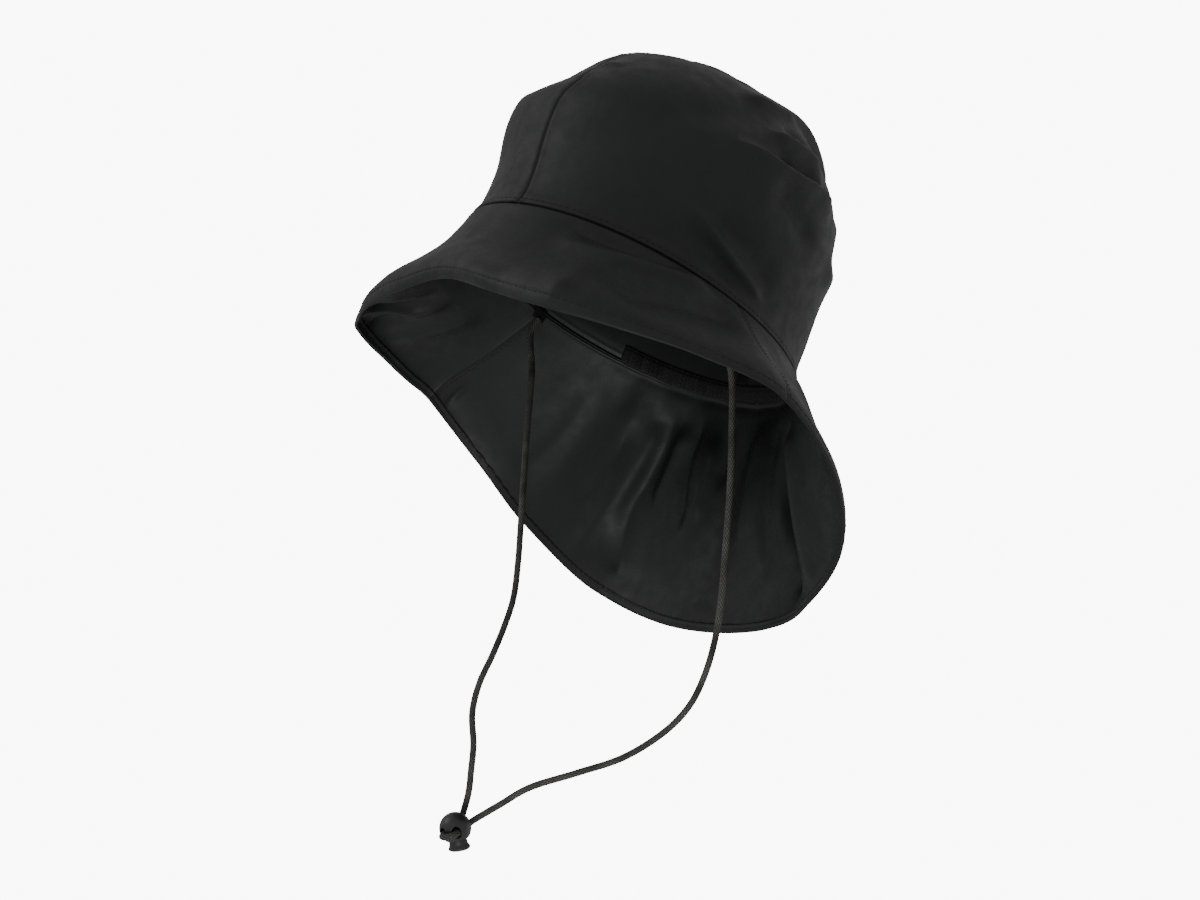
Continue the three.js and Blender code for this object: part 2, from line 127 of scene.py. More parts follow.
def shell(name, outer, inner, uv, materials, flip=False, pole=False):
    # a closed wall between an outer and an inner grid; with a pole, the last row is one point
    rows, columns = outer.shape[:2]
    index = np.arange(2 * rows * columns).reshape(2, rows, columns)
    if pole:
        index[:, -1, :] = index[:, -1, :1]
    faces = [quads(index[0], flip), quads(index[1], not flip)]
    rims = [
        np.stack([index[1, :, 0], index[0, :, 0]], 0),
        np.stack([index[0, :, -1], index[1, :, -1]], 0),
        np.stack([index[0, 0, :], index[1, 0, :]], 0),
    ]
    if not pole:
        rims.append(np.stack([index[1, -1, :], index[0, -1, :]], 0))
    rimFlips = [True, True, True, True]
    faces += [quads(rim, flip != turned) for rim, turned in zip(rims, rimFlips)]
    inside = [np.zeros(len(faces[0])), np.ones(len(faces[1]))]
    inside += [np.zeros(len(f)) for f in faces[2:]]
    allFaces = np.concatenate(faces)
    kinds = np.concatenate(inside)
    points = np.concatenate([outer.reshape(-1, 3), inner.reshape(-1, 3)])
    both = np.concatenate([uv.reshape(-1, 2), uv.reshape(-1, 2)])
    used, fresh = np.unique(allFaces, return_inverse=True)
    fresh = fresh.reshape(-1, 4)
    faceList = [[v for k, v in enumerate(f) if v != f[k - 1]] for f in fresh.tolist()]
    return addMesh(name, points[used], faceList, materials, kinds, both[used])


def valueNoise(points, cell, seed):
    # smooth random field from -1 to 1: values at the corners of a lattice, blended between them
    table = np.random.RandomState(seed).uniform(-1, 1, 4096)
    scaled = points / cell
    base = np.floor(scaled).astype(np.int64)
    part = scaled - base
    part = part * part * (3 - 2 * part)
    total = np.zeros(points.shape[:-1])
    for corner in np.ndindex(*(2,) * points.shape[-1]):
        key = np.zeros(points.shape[:-1], np.int64)
        weight = np.ones(points.shape[:-1])
        for axis, step in enumerate(corner):
            key += (base[..., axis] + step) * (73856093, 19349663, 83492791)[axis]
            weight = weight * (part[..., axis] if step else 1 - part[..., axis])
        total += table[(key ^ (key >> 7)) % 4096] * weight
    return total


# ---- the hat's plain form ----
hat = {
    "headWidth": 174.0,
    "headDepth": 202.0,
    "crownHeight": 138.0,
    "sideReach": 74.0,
    "flapDrop": 126.5,
    "seamGap": 0.3,
    "tipBack": 8.3,
    "sideJoint": 91.0,
    "foldDepth": 5.0,
    "dentDepth": 7.0,
    "gatherDepth": 1.3,
    "gatherCount": 30,
    "casingFrom": 122,
}
# height as a share of the crown's height, size as a share of the head oval, shift toward the front
crownSections = np.array([
    (0, 1, 0), (0.06, 0.972, 0.004), (0.19, 0.968, 0.01), (0.37, 0.968, 0.026), (0.5, 0.955, 0.039),
    (0.63, 0.885, 0.035), (0.76, 0.745, 0.026), (0.87, 0.56, 0.026), (0.945, 0.375, 0.036),
    (0.985, 0.2, 0.046), (1, 0, 0.055),
])
runs = np.hypot(np.diff(crownSections[:, 1]) * hat["headDepth"] / 2, np.diff(crownSections[:, 0]) * hat["crownHeight"])
profileLength = runs.sum()
crownShares = np.concatenate([[0], np.cumsum(runs)]) / profileLength
crownProfile = np.column_stack([crownShares, crownSections])
# hem: angle from the front, reach, drop and belly
hemOutline = np.array([
    (0, 0.11, 0.41, 0.1), (25, 0.25, 0.47, 0.1), (42, 0.52, 0.515, 0.1), (57, 0.66, 0.5, 0.08),
    (72, 0.81, 0.46, 0.06), (84, 0.95, 0.44, 0.05), (91, 0.98, 0.445, 0.045), (107, 1.05, 0.555, 0.035),
    (121, 0.98, 0.715, 0.03), (142, 0.72, 0.9, 0.025), (180, 0.37, 1, 0.02),
])
# angle, half width, level, half height, tilt, depth
crownDents = [
    (150, 30, 0.66, 0.06, -0.0035, 0.95), (152, 24, 0.56, 0.035, -0.0035, -0.6),
    (128, 20, 0.84, 0.05, -0.003, 0.5), (132, 22, 0.77, 0.04, -0.003, -0.5),
    (60, 30, 0.42, 0.07, 0.006, -0.35), (142, 50, 0.9, 0.07, 0, -1.0), (148, 40, 0.76, 0.06, 0, 0.8),
    (328, 50, 0.52, 0.12, 0, 0.35), (328, 50, 0.78, 0.1, 0, -0.45), (350, 26, 0.47, 0.1, 0, -0.95),
    (336, 20, 0.28, 0.08, 0, 0.45), (50, 36, 0.79, 0.08, 0, -0.85),
    (300, 40, 0.62, 0.1, 0.002, -0.35), (235, 30, 0.68, 0.08, 0.003, -0.5),
]
# angle, half width, depth, from, to
skirtFolds = [
    (-58, 7, 0.6, 0.35, 1.3), (-43, 6, -0.7, 0.3, 1.3), (-26, 7, 0.4, 0.3, 1.2), (30, 9, -0.35, -0.1, 0.8),
    (52, 10, 0.4, 0.1, 1.1), (77, 8, -0.35, 0.1, 1.1), (104, 7, -0.6, 0, 1), (122, 8, 0.7, 0.05, 1.1),
    (139, 6, -1, 0.02, 1.05), (153, 6, 0.7, 0.05, 1), (168, 6, -0.6, 0, 0.85), (183, 6, 0.6, 0, 0.9),
    (197, 5, -0.7, 0, 0.8), (211, 6, 0.7, 0, 0.9), (224, 5, -0.6, 0, 0.8), (238, 7, 0.5, 0, 0.9),
    (254, 7, -0.4, 0.1, 1),
]


def turnBetween(a, b):
    return (a - b + 540) % 360 - 180


def crownBase(angle, share):
    # an oval that narrows with height and shifts forward, pushed in and out by broad dents
    height = hermite(crownProfile, 1, share)
    size = np.maximum(hermite(crownProfile, 2, share), 0)
    shift = hermite(crownProfile, 3, share) * hat["headDepth"]
    turn = np.radians(angle)
    x = np.sin(turn) * hat["headWidth"] / 2 * size
    y = -np.cos(turn) * hat["headDepth"] / 2 * size
    z = hat["seamGap"] / 2 + height * (hat["crownHeight"] - hat["seamGap"] / 2)
    dent = np.zeros(np.shape(angle))
    for place, span, level, spread, tilt, depth in crownDents:
        away = turnBetween(angle, place)
        up = (share - level - tilt * away) / spread
        dent = dent + depth * hat["dentDepth"] * np.exp(-((away / span) ** 2) - up * up)
    dent = dent * smooth(share, 0, 0.08) * (1 - smooth(share, 0.9, 1))
    fromAxis = unit(np.stack([x, y, z - hat["crownHeight"] * 0.3], -1))
    return np.stack([x, y - shift, z], -1) + fromAxis * dent[..., None]


def headRadius(angle):
    turn = np.radians(angle)
    return 1 / np.hypot(np.sin(turn) * 2 / hat["headWidth"], np.cos(turn) * 2 / hat["headDepth"])


def skirtReach(angle):
    mirrored = np.abs(turnBetween(angle, 0))
    return hermite(hemOutline, 1, mirrored) * hat["sideReach"]


def skirtDrop(angle):
    mirrored = np.abs(turnBetween(angle, 0))
    return hermite(hemOutline, 2, mirrored) * hat["flapDrop"]


def skirtLength(angle):
    return np.hypot(skirtReach(angle), skirtDrop(angle))


def skirtBase(angle, share):
    # straight from the head oval down to the hem, bellied out, with soft folds and gathers square to it
    reach = skirtReach(angle)
    drop = skirtDrop(angle)
    length = np.hypot(reach, drop)
    mirrored = np.abs(turnBetween(angle, 0))
    belly = hermite(hemOutline, 3, mirrored) * 15 * share ** 5 * (1 - share)
    rise = np.zeros(np.shape(angle))
    for place, span, depth, start, end in skirtFolds:
        turn = turnBetween(angle, place) / span
        level = (share - (start + end) / 2) / ((end - start) / 2)
        rise = rise + depth * hat["foldDepth"] * np.exp(-turn * turn) * np.maximum(1 - level * level, 0)
    fromBack = np.abs(turnBetween(angle, 180))
    gathered = smooth(180 - hat["casingFrom"] - fromBack, 0, 12)
    ripple = np.cos(np.radians(angle) * hat["gatherCount"]) * hat["gatherDepth"] * gathered
    rise = rise * smooth(share, 0, 0.25) + ripple * share * 9 * np.exp(-share * 9)
    plan = headRadius(angle) + reach * share + belly * drop + rise * drop / length
    z = -hat["seamGap"] / 2 - drop * share + belly * reach + rise * reach / length
    turn = np.radians(angle)
    return np.stack([np.sin(turn) * plan, -np.cos(turn) * plan, z], -1)


# ---- materials ----
def newGroup(name, inputs, outputs):
    group = bpy.data.node_groups.new(name, "ShaderNodeTree")
    for word, kind, value in inputs:
        socket = group.interface.new_socket(name=word, in_out="INPUT", socket_type=kind)
        if value is not None:
            socket.default_value = value
    for word, kind in outputs:
        group.interface.new_socket(name=word, in_out="OUTPUT", socket_type=kind)
    return group, group.nodes.new("NodeGroupInput"), group.nodes.new("NodeGroupOutput")


def mathNode(tree, operation, first, second=None, clamp=False):
    node = tree.nodes.new("ShaderNodeMath")
    node.operation = operation
    node.use_clamp = clamp
    for place, value in enumerate((first, second)):
        if value is None:
            continue
        if isinstance(value, (int, float)):
            node.inputs[place].default_value = value
        else:
            tree.links.new(value, node.inputs[place])
    return node.outputs[0]


def weaveGroup():
    # plain weave: warp and weft take turns on top, each thread a rounded bar
    group, start, end = newGroup(
        "plainWeave",
        [("Vector", "NodeSocketVector", None), ("Threads", "NodeSocketFloat", 1500.0)],
        [("Height", "NodeSocketFloat"), ("Gap", "NodeSocketFloat")],
    )
    parts = group.nodes.new("ShaderNodeSeparateXYZ")
    group.links.new(start.outputs["Vector"], parts.inputs[0])
    warp = mathNode(group, "MULTIPLY", parts.outputs["X"], start.outputs["Threads"])
    weft = mathNode(group, "MULTIPLY", parts.outputs["Y"], start.outputs["Threads"])
    warpBar = mathNode(group, "ABSOLUTE", mathNode(group, "SINE", mathNode(group, "MULTIPLY", warp, np.pi)))
    weftBar = mathNode(group, "ABSOLUTE", mathNode(group, "SINE", mathNode(group, "MULTIPLY", weft, np.pi)))
    steps = mathNode(group, "ADD", mathNode(group, "FLOOR", warp), mathNode(group, "FLOOR", weft))
    over = mathNode(group, "ABSOLUTE", mathNode(group, "MODULO", steps, 2.0))
    under = mathNode(group, "SUBTRACT", 1.0, over)
    height = mathNode(group, "ADD", mathNode(group, "MULTIPLY", warpBar, over), mathNode(group, "MULTIPLY", weftBar, under))
    gap = mathNode(group, "SUBTRACT", 1.0, mathNode(group, "MINIMUM", warpBar, weftBar))
    group.links.new(height, end.inputs["Height"])
    group.links.new(gap, end.inputs["Gap"])
    return group


def toneGroup():
    # slow change of tone over a surface, from cloudy noise at two sizes
    group, start, end = newGroup(
        "clothTone",
        [("Vector", "NodeSocketVector", None), ("Scale", "NodeSocketFloat", 12.0)],
        [("Tone", "NodeSocketFloat"), ("Grain", "NodeSocketFloat")],
    )
    broad = group.nodes.new("ShaderNodeTexNoise")
    broad.inputs["Detail"].default_value = 3.0
    broad.inputs["Roughness"].default_value = 0.55
    group.links.new(start.outputs["Vector"], broad.inputs["Vector"])
    group.links.new(start.outputs["Scale"], broad.inputs["Scale"])
    fine = group.nodes.new("ShaderNodeTexNoise")
    fine.inputs["Detail"].default_value = 4.0
    group.links.new(start.outputs["Vector"], fine.inputs["Vector"])
    group.links.new(mathNode(group, "MULTIPLY", start.outputs["Scale"], 14.0), fine.inputs["Scale"])
    group.links.new(broad.outputs["Fac"], end.inputs["Tone"])
    group.links.new(fine.outputs["Fac"], end.inputs["Grain"])
    return group


def creaseGroup():
    # thin soft creases left in coated cloth: the ridges of a warped noise
    group, start, end = newGroup(
        "softCreases",
        [("Vector", "NodeSocketVector", None), ("Scale", "NodeSocketFloat", 20.0)],
        [("Height", "NodeSocketFloat")],
    )
    noise = group.nodes.new("ShaderNodeTexNoise")
    noise.inputs["Detail"].default_value = 2.0
    noise.inputs["Distortion"].default_value = 0.8
    group.links.new(start.outputs["Vector"], noise.inputs["Vector"])
    group.links.new(start.outputs["Scale"], noise.inputs["Scale"])
    away = mathNode(group, "ABSOLUTE", mathNode(group, "SUBTRACT", noise.outputs["Fac"], 0.5))
    ridge = mathNode(group, "SUBTRACT", 1.0, mathNode(group, "MULTIPLY", away, 7.0, True))
    group.links.new(mathNode(group, "ADD", mathNode(group, "MULTIPLY", ridge, 0.35), noise.outputs["Fac"]), end.inputs["Height"])
    return group


groups = {"weave": weaveGroup(), "tone": toneGroup(), "crease": creaseGroup()}


def placeGroup(tree, word, vector, **values):
    node = tree.nodes.new("ShaderNodeGroup")
    node.node_tree = groups[word]
    tree.links.new(vector, node.inputs["Vector"])
    for name, value in values.items():
        node.inputs[name].default_value = value
    return node


def rangeNode(tree, value, low, high):
    node = tree.nodes.new("ShaderNodeMapRange")
    tree.links.new(value, node.inputs["Value"])
    node.inputs["From Min"].default_value = 0.3
    node.inputs["From Max"].default_value = 0.7
    node.inputs["To Min"].default_value = low
    node.inputs["To Max"].default_value = high
    return node.outputs["Result"]


def bumpNode(tree, height, distance, strength, before=None):
    node = tree.nodes.new("ShaderNodeBump")
    node.inputs["Strength"].default_value = strength
    node.inputs["Distance"].default_value = distance
    tree.links.new(height, node.inputs["Height"])
    if before is not None:
        tree.links.new(before, node.inputs["Normal"])
    return node.outputs["Normal"]


def clothMaterial(name, look):
    # tone and gloss drift over the cloth, and weave and creases stand up as bump
    material = bpy.data.materials.new(name)
    material.use_nodes = True
    tree = material.node_tree
    shader = tree.nodes["Principled BSDF"]
    place = tree.nodes.new("ShaderNodeTexCoord")
    vector = place.outputs["Object"]
    threads = place.outputs["UV"] if look.get("uv", True) else vector
    tone = placeGroup(tree, "tone", vector, Scale=look["toneScale"])
    ramp = tree.nodes.new("ShaderNodeValToRGB")
    ramp.color_ramp.elements[0].position = 0.3
    ramp.color_ramp.elements[0].color = (*look["dark"], 1)
    ramp.color_ramp.elements[1].position = 0.7
    ramp.color_ramp.elements[1].color = (*look["light"], 1)
    tree.links.new(tone.outputs["Tone"], ramp.inputs["Fac"])
    tree.links.new(ramp.outputs["Color"], shader.inputs["Base Color"])
    tree.links.new(rangeNode(tree, tone.outputs["Grain"], *look["roughness"]), shader.inputs["Roughness"])
    weave = placeGroup(tree, "weave", threads, Threads=look["threads"])
    crease = placeGroup(tree, "crease", vector, Scale=look["creaseScale"])
    normal = bumpNode(tree, crease.outputs["Height"], look["creaseHeight"], look["creaseStrength"])
    normal = bumpNode(tree, tone.outputs["Grain"], look["grainHeight"], 0.5, normal)
    normal = bumpNode(tree, weave.outputs["Height"], look["weaveHeight"], look["weaveStrength"], normal)
    tree.links.new(normal, shader.inputs["Normal"])
    shader.inputs["Specular IOR Level"].default_value = look["specular"]
    shader.inputs["Sheen Weight"].default_value = look["sheen"]
    shader.inputs["Sheen Roughness"].default_value = 0.4
    return material


shellLook = {
    "dark": (0.0105, 0.0108, 0.0115), "light": (0.0145, 0.0148, 0.0155), "toneScale": 9.0,
    "roughness": (0.48, 0.6), "threads": 1900.0, "creaseScale": 22.0, "creaseHeight": 0.0022,
    "creaseStrength": 0.1, "grainHeight": 0.00012, "weaveHeight": 0.00006, "weaveStrength": 0.5,
    "specular": 0.32, "sheen": 0.0,
}
shellOuter = clothMaterial("shellOuter", shellLook)
shellInner = clothMaterial("shellInner", {
    **shellLook, "dark": (0.0095, 0.0098, 0.0108), "light": (0.0128, 0.0132, 0.0146), "roughness": (0.42, 0.55),
    "creaseStrength": 0.12, "weaveStrength": 0.25,
})
# crown's inner face: the inside cloth made about twice as light, painted fill light in the shaded hollow of the crown
paintedLightCrownInside = clothMaterial("crownInsidePaintedLight", {
    **shellLook, "dark": (0.02, 0.0205, 0.022), "light": (0.028, 0.0285, 0.031), "roughness": (0.42, 0.55),
    "creaseStrength": 0.12, "weaveStrength": 0.25,
})
tapeMaterial = clothMaterial("casingTape", {
    **shellLook, "roughness": (0.6, 0.78), "threads": 1100.0, "weaveHeight": 0.00018, "weaveStrength": 0.8,
    "creaseStrength": 0.15, "specular": 0.25,
})
labelMaterial = clothMaterial("labelSatin", {
    **shellLook, "dark": (0.012, 0.012, 0.013), "light": (0.016, 0.016, 0.017), "roughness": (0.32, 0.42),
    "threads": 3000.0, "creaseStrength": 0.05,
})
threadMaterial = clothMaterial("sewingThread", {
    **shellLook, "dark": (0.016, 0.016, 0.017), "light": (0.024, 0.024, 0.026), "roughness": (0.45, 0.6),
    "threads": 3500.0, "uv": False, "creaseStrength": 0.0,
})
plasticMaterial = clothMaterial("togglePlastic", {
    **shellLook, "dark": (0.021, 0.021, 0.0215), "light": (0.028, 0.028, 0.0285), "roughness": (0.34, 0.46),
    "threads": 2500.0, "uv": False, "weaveStrength": 0.0, "creaseStrength": 0.0, "grainHeight": 0.00008,
    "specular": 0.5,
})


def cordMaterial():
    # braid: painted highlight on each carrier's crown and painted shade in the gaps between carriers, and some carriers
    # are paler than others
    material = bpy.data.materials.new("cordBraid")
    material.use_nodes = True
    tree = material.node_tree
    shader = tree.nodes["Principled BSDF"]
    place = tree.nodes.new("ShaderNodeTexCoord")
    stretch = tree.nodes.new("ShaderNodeMapping")
    stretch.inputs["Scale"].default_value = (8.0, 8.0 * cordSet["pitch"] / (2 * np.pi) * 1000 / 4, 1)
    tree.links.new(place.outputs["UV"], stretch.inputs["Vector"])
    parts = tree.nodes.new("ShaderNodeSeparateXYZ")
    tree.links.new(stretch.outputs["Vector"], parts.inputs[0])
    first = mathNode(tree, "ADD", parts.outputs["X"], parts.outputs["Y"])
    second = mathNode(tree, "SUBTRACT", parts.outputs["X"], parts.outputs["Y"])
    one = mathNode(tree, "ABSOLUTE", mathNode(tree, "SINE", mathNode(tree, "MULTIPLY", first, np.pi)))
    two = mathNode(tree, "ABSOLUTE", mathNode(tree, "SINE", mathNode(tree, "MULTIPLY", second, np.pi)))
    # height of each carrier's crown: it lifts the bump and also sets the painted highlight and painted shade
    crown = mathNode(tree, "MULTIPLY", one, two)
    tone = placeGroup(tree, "tone", place.outputs["Object"], Scale=90.0)
    # painted light of crowns and gaps, times each carrier's own tone
    paintedLightAndTone = mathNode(tree, "MULTIPLY", crown, rangeNode(tree, tone.outputs["Tone"], 0.2, 1.0))
    ramp = tree.nodes.new("ShaderNodeValToRGB")
    # dark end: painted shade in the gaps; light end: painted highlight on the crowns
    ramp.color_ramp.elements[0].color = (0.013, 0.013, 0.011, 1)
    ramp.color_ramp.elements[1].color = (0.19, 0.188, 0.165, 1)
    tree.links.new(paintedLightAndTone, ramp.inputs["Fac"])
    tree.links.new(ramp.outputs["Color"], shader.inputs["Base Color"])
    shader.inputs["Specular IOR Level"].default_value = 0.3
    tree.links.new(rangeNode(tree, tone.outputs["Grain"], 0.6, 0.8), shader.inputs["Roughness"])
    normal = bumpNode(tree, tone.outputs["Grain"], 0.0001, 0.5)
    tree.links.new(bumpNode(tree, crown, 0.00015, 0.6, normal), shader.inputs["Normal"])
    return material


# ---- chin cord ----
cordSet = {
    "diameter": 3.5,
    "sides": 20,
    "step": 0.45,
    "tabCentre": 84.2,
    "tabFoot": 0.8 - 9.0,
    "leads": (-3.0, 6.4),
    "holeSpacing": 7.4,
    "level": -1.0,
    "inToggle": (-13.0, -9.0, 0.0, 7.5),
    "pitch": 1.3,  # turn of a carrier in radians per mm, times four
    "left": [
        (84.5, 13, -33), (85.5, 24, -60), (85.5, 34.5, -88), (84.5, 44.5, -117), (83, 53, -141),
        (81, 58.5, -160.5), (78, 61.5, -179), (74, 61.5, -195), (67, 58, -210), (54, 47.5, -229.5),
        (38.5, 33.5, -244.5), (22.5, 19.5, -259), (11, 14, -271),
    ],
    "right": [
        (-75.5, 1, -36), (-63.5, 3, -70), (-51.5, 5.5, -104), (-43.5, 7, -126), (-36.5, 8, -145),
        (-30, 8, -164), (-26.5, 6, -180), (-23, 2.5, -197), (-20, -1.5, -214), (-15, -3, -230),
        (-8, -0.5, -246), (-4, 0.5, -259), (-4, 3.5, -270.5),
    ],
}
toggleSet = {
    "drop": 289.4,
    "face": (0.53, -0.7, -0.47),
    "down": (0.02, 0.59, -0.81),
    "loopSeat": 7.8,
}


def toggleAxes():
    face = unit(np.array(toggleSet["face"]))
    up = -unit(np.array(toggleSet["down"]))
    across = unit(np.cross(face, up))
    return across, unit(np.cross(up, across)), up


def inToggle(x, y, z):
    across, facing, up = toggleAxes()
    return across * x + facing * y + up * z + np.array([0, 0, -toggleSet["drop"]])


def routeThrough(points, step):
    # centripetal Catmull-Rom through the points, then evenly spaced along its length
    points = np.asarray(points, float)
    ends = np.vstack([2 * points[0] - points[1], points, 2 * points[-1] - points[-2]])
    found = []
    for i in range(len(points) - 1):
        p0, p1, p2, p3 = ends[i:i + 4]
        d0, d1, d2 = [max(np.sqrt(np.linalg.norm(b - a)), 1e-4) for a, b in ((p0, p1), (p1, p2), (p2, p3))]
        out = ((p1 - p0) / d0 - (p2 - p0) / (d0 + d1) + (p2 - p1) / d1) * d1
        into = ((p2 - p1) / d1 - (p3 - p1) / (d1 + d2) + (p3 - p2) / d2) * d1
        t = np.linspace(0, 1, 60, endpoint=False)[:, None]
        found.append((2 * t**3 - 3 * t**2 + 1) * p1 + (t**3 - 2 * t**2 + t) * out
                     + (3 * t**2 - 2 * t**3) * p2 + (t**3 - t**2) * into)
    line = np.vstack([*found, points[-1:]])
    run = np.concatenate([[0], np.cumsum(np.linalg.norm(np.diff(line, axis=0), axis=1))])
    even = np.linspace(0, run[-1], int(run[-1] / step) + 1)
    return np.column_stack([np.interp(even, run, line[:, k]) for k in range(3)]), even


def steadyFrame(line):
    # a normal carried along the line without twist
    tangent = unit(np.gradient(line, axis=0))
    normal = np.zeros_like(line)
    start = np.cross(tangent[0], [0.3, 0.2, 0.9])
    for i in range(len(line)):
        start = start - tangent[i] * (start @ tangent[i])
        start = start / np.linalg.norm(start)
        normal[i] = start
    return tangent, normal, np.cross(tangent, normal)


def braidedTube(name, points, material):
    # a round tube whose skin rises in two crossing families of strands
    line, run = routeThrough(points, cordSet["step"])
    tangent, normal, side = steadyFrame(line)
    turn = np.linspace(0, 2 * np.pi, cordSet["sides"], endpoint=False)
    weaveA = np.cos(4 * turn[None, :] + run[:, None] * cordSet["pitch"])
    weaveB = np.cos(4 * turn[None, :] - run[:, None] * cordSet["pitch"])
    radius = cordSet["diameter"] / 2 - 0.14 + 0.16 * np.maximum(np.abs(weaveA), np.abs(weaveB))
    ring = (np.cos(turn)[None, :, None] * normal[:, None] + np.sin(turn)[None, :, None] * side[:, None])
    points3 = line[:, None] + ring * radius[..., None]
    rows, columns = points3.shape[:2]
    index = np.arange(rows * columns).reshape(rows, columns)
    faces = quads(np.column_stack([index, index[:, :1]]), True).tolist()
    faces += [index[0].tolist(), index[-1][::-1].tolist()]
    uv = np.stack(np.broadcast_arrays(turn[None, :] / (2 * np.pi), run[:, None] / 1000), -1)
    return addMesh(name, points3.reshape(-1, 3), faces, [material], None, uv.reshape(-1, 2)), line


def strandPoints(side, route):
    leads = [hatTip(np.array([side * cordSet["tabCentre"], 0, cordSet["tabFoot"] - lead])) for lead in cordSet["leads"]]
    hole = -side * cordSet["holeSpacing"] / 2
    ends = [inToggle(hole, depth, cordSet["level"]) for depth in cordSet["inToggle"]]
    return np.array([*leads, *route, *ends])


cordBraid = cordMaterial()
strands = {}
for word, side in (("left", 1), ("right", -1)):
    strands[word] = braidedTube(f"braided_cord_{word}", strandPoints(side, cordSet[word]), cordBraid)
    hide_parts(f"chin_cord_{word}")
    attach(strands[word][0], "hat")
half = np.linspace(0, np.pi, 9)
loopRadius = cordSet["holeSpacing"] / 2
loopPoints = [inToggle(-loopRadius * np.cos(a), toggleSet["loopSeat"] + loopRadius * np.sin(a), cordSet["level"]) for a in half]
cordLoop, loopLine = braidedTube("braided_cord_bight", loopPoints, cordBraid)
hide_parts("cord_end_loop")
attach(cordLoop, "hat")
# ---- toggle ----
toggleLook = {
    "ball": 8.25, "ballCut": 5.6, "boreHalf": (5.2, 4.2), "boreTop": 4.6, "holeHalf": (2.2, 3.25),
    "holeLevel": -0.6, "bodyEdge": 0.4, "buttonEdge": 0.3, "sharpAngle": 38.0,
    "stem": (1.5, 3.2, -5.6, 2.3), "bar": (3.7, 2.2, 1.05, 2.3),
    # button's height, half width, half depth
    "button": [
        (-11.7, 3.6, 2.6), (-11.66, 4.3, 3.3), (-11.5, 4.9, 3.9), (-11.2, 5.45, 4.45), (-10.85, 5.78, 4.78),
        (-10.5, 5.88, 4.88), (-10.1, 5.8, 4.8), (-9.4, 5.45, 4.45), (-8.6, 5.1, 4.1), (-7.9, 4.9, 3.9),
        (-5.4, 4.9, 3.9), (-5.15, 4.75, 3.75), (-5.05, 4.5, 3.5),
    ],
}


def ovalColumn(name, profile, count=88):
    # closed column from rows of height, half width and half depth; built in mm and scaled later
    rows = np.asarray(profile, float)
    turn = np.linspace(0, 2 * np.pi, count, endpoint=False)
    height = np.broadcast_to(rows[:, :1], (len(rows), count))
    points = np.stack([rows[:, 1:2] * np.cos(turn), rows[:, 2:3] * np.sin(turn), height], -1)
    index = np.arange(len(rows) * count).reshape(len(rows), count)
    faces = quads(np.column_stack([index, index[:, :1]])).tolist()
    faces += [index[0][::-1].tolist(), index[-1].tolist()]
    return addMesh(name, points.reshape(-1, 3) * 1000, faces)


def block(name, halfWidth, halfDepth, foot, head):
    corners = np.array([[x, y, z] for z in (foot, head) for x, y in ((-1, -1), (1, -1), (1, 1), (-1, 1))], float)
    points = corners * (halfWidth, halfDepth, 1)
    faces = [[3, 2, 1, 0], [4, 5, 6, 7], [0, 1, 5, 4], [1, 2, 6, 5], [2, 3, 7, 6], [3, 0, 4, 7]]
    return addMesh(name, points * 1000, faces, smoothFaces=False)


def carve(piece, cutters, joined, edge):
    # cut and join in mm, round the edges, then move the mesh to the toggle's place in metres
    for other, operation in [(c, "DIFFERENCE") for c in cutters] + [(j, "UNION") for j in joined]:
        step = piece.modifiers.new("carve", "BOOLEAN")
        step.operation = operation
        step.solver = "EXACT"
        step.object = other
    rounding = piece.modifiers.new("edge", "BEVEL")
    rounding.width = edge
    rounding.segments = 3
    rounding.limit_method = "ANGLE"
    rounding.angle_limit = np.radians(toggleLook["sharpAngle"])
    bpy.context.view_layer.update()
    shown = piece.evaluated_get(bpy.context.evaluated_depsgraph_get())
    made = bpy.data.meshes.new_from_object(shown)
    piece.modifiers.clear()
    piece.data = made
    across, facing, up = toggleAxes()
    moved = Matrix((across, facing, up)).transposed().to_4x4() @ Matrix.Scale(0.001, 4)
    moved.translation = (0, 0, -toggleSet["drop"] / 1000)
    made.transform(moved)
    made.materials.clear()
    made.materials.append(plasticMaterial)
    made.polygons.foreach_set("use_smooth", np.ones(len(made.polygons), bool))
    made.set_sharp_from_angle(angle=np.radians(toggleLook["sharpAngle"]))
    for other in [*cutters, *joined]:
        bpy.data.objects.remove(other)


swing = np.radians(np.linspace(1.5, 178.5, 60))
ballRows = np.column_stack([-np.cos(swing), np.sin(swing), np.sin(swing)]) * toggleLook["ball"]
ballBody = ovalColumn("ball_toggle_body", ballRows)
floorCut = block("toggleFloor", 20, 20, -30, -toggleLook["ballCut"])
bore = ovalColumn("toggleBore", [(-12, *toggleLook["boreHalf"]), (toggleLook["boreTop"], *toggleLook["boreHalf"])])
holes = []
for side in (-1, 1):
    hole = ovalColumn("toggleHole", [(-20, *toggleLook["holeHalf"]), (20, *toggleLook["holeHalf"])])
    lying = Matrix(((1, 0, 0), (0, 0, 1), (0, -1, 0))).to_4x4()
    lying.translation = (side * cordSet["holeSpacing"] / 2, 0, toggleLook["holeLevel"])
    hole.data.transform(lying)
    holes.append(hole)
carve(ballBody, [floorCut, bore, *holes], [], toggleLook["bodyEdge"])
flaredButton = ovalColumn("flared_toggle_button", toggleLook["button"])
carve(flaredButton, [], [block("toggleStem", *toggleLook["stem"]), block("toggleBar", *toggleLook["bar"])], toggleLook["buttonEdge"])
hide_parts("toggle_body")
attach(ballBody, "hat")
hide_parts("toggle_button")
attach(flaredButton, "toggle_button")
print("toggle made", len(ballBody.data.polygons), len(flaredButton.data.polygons))

print("cords made")

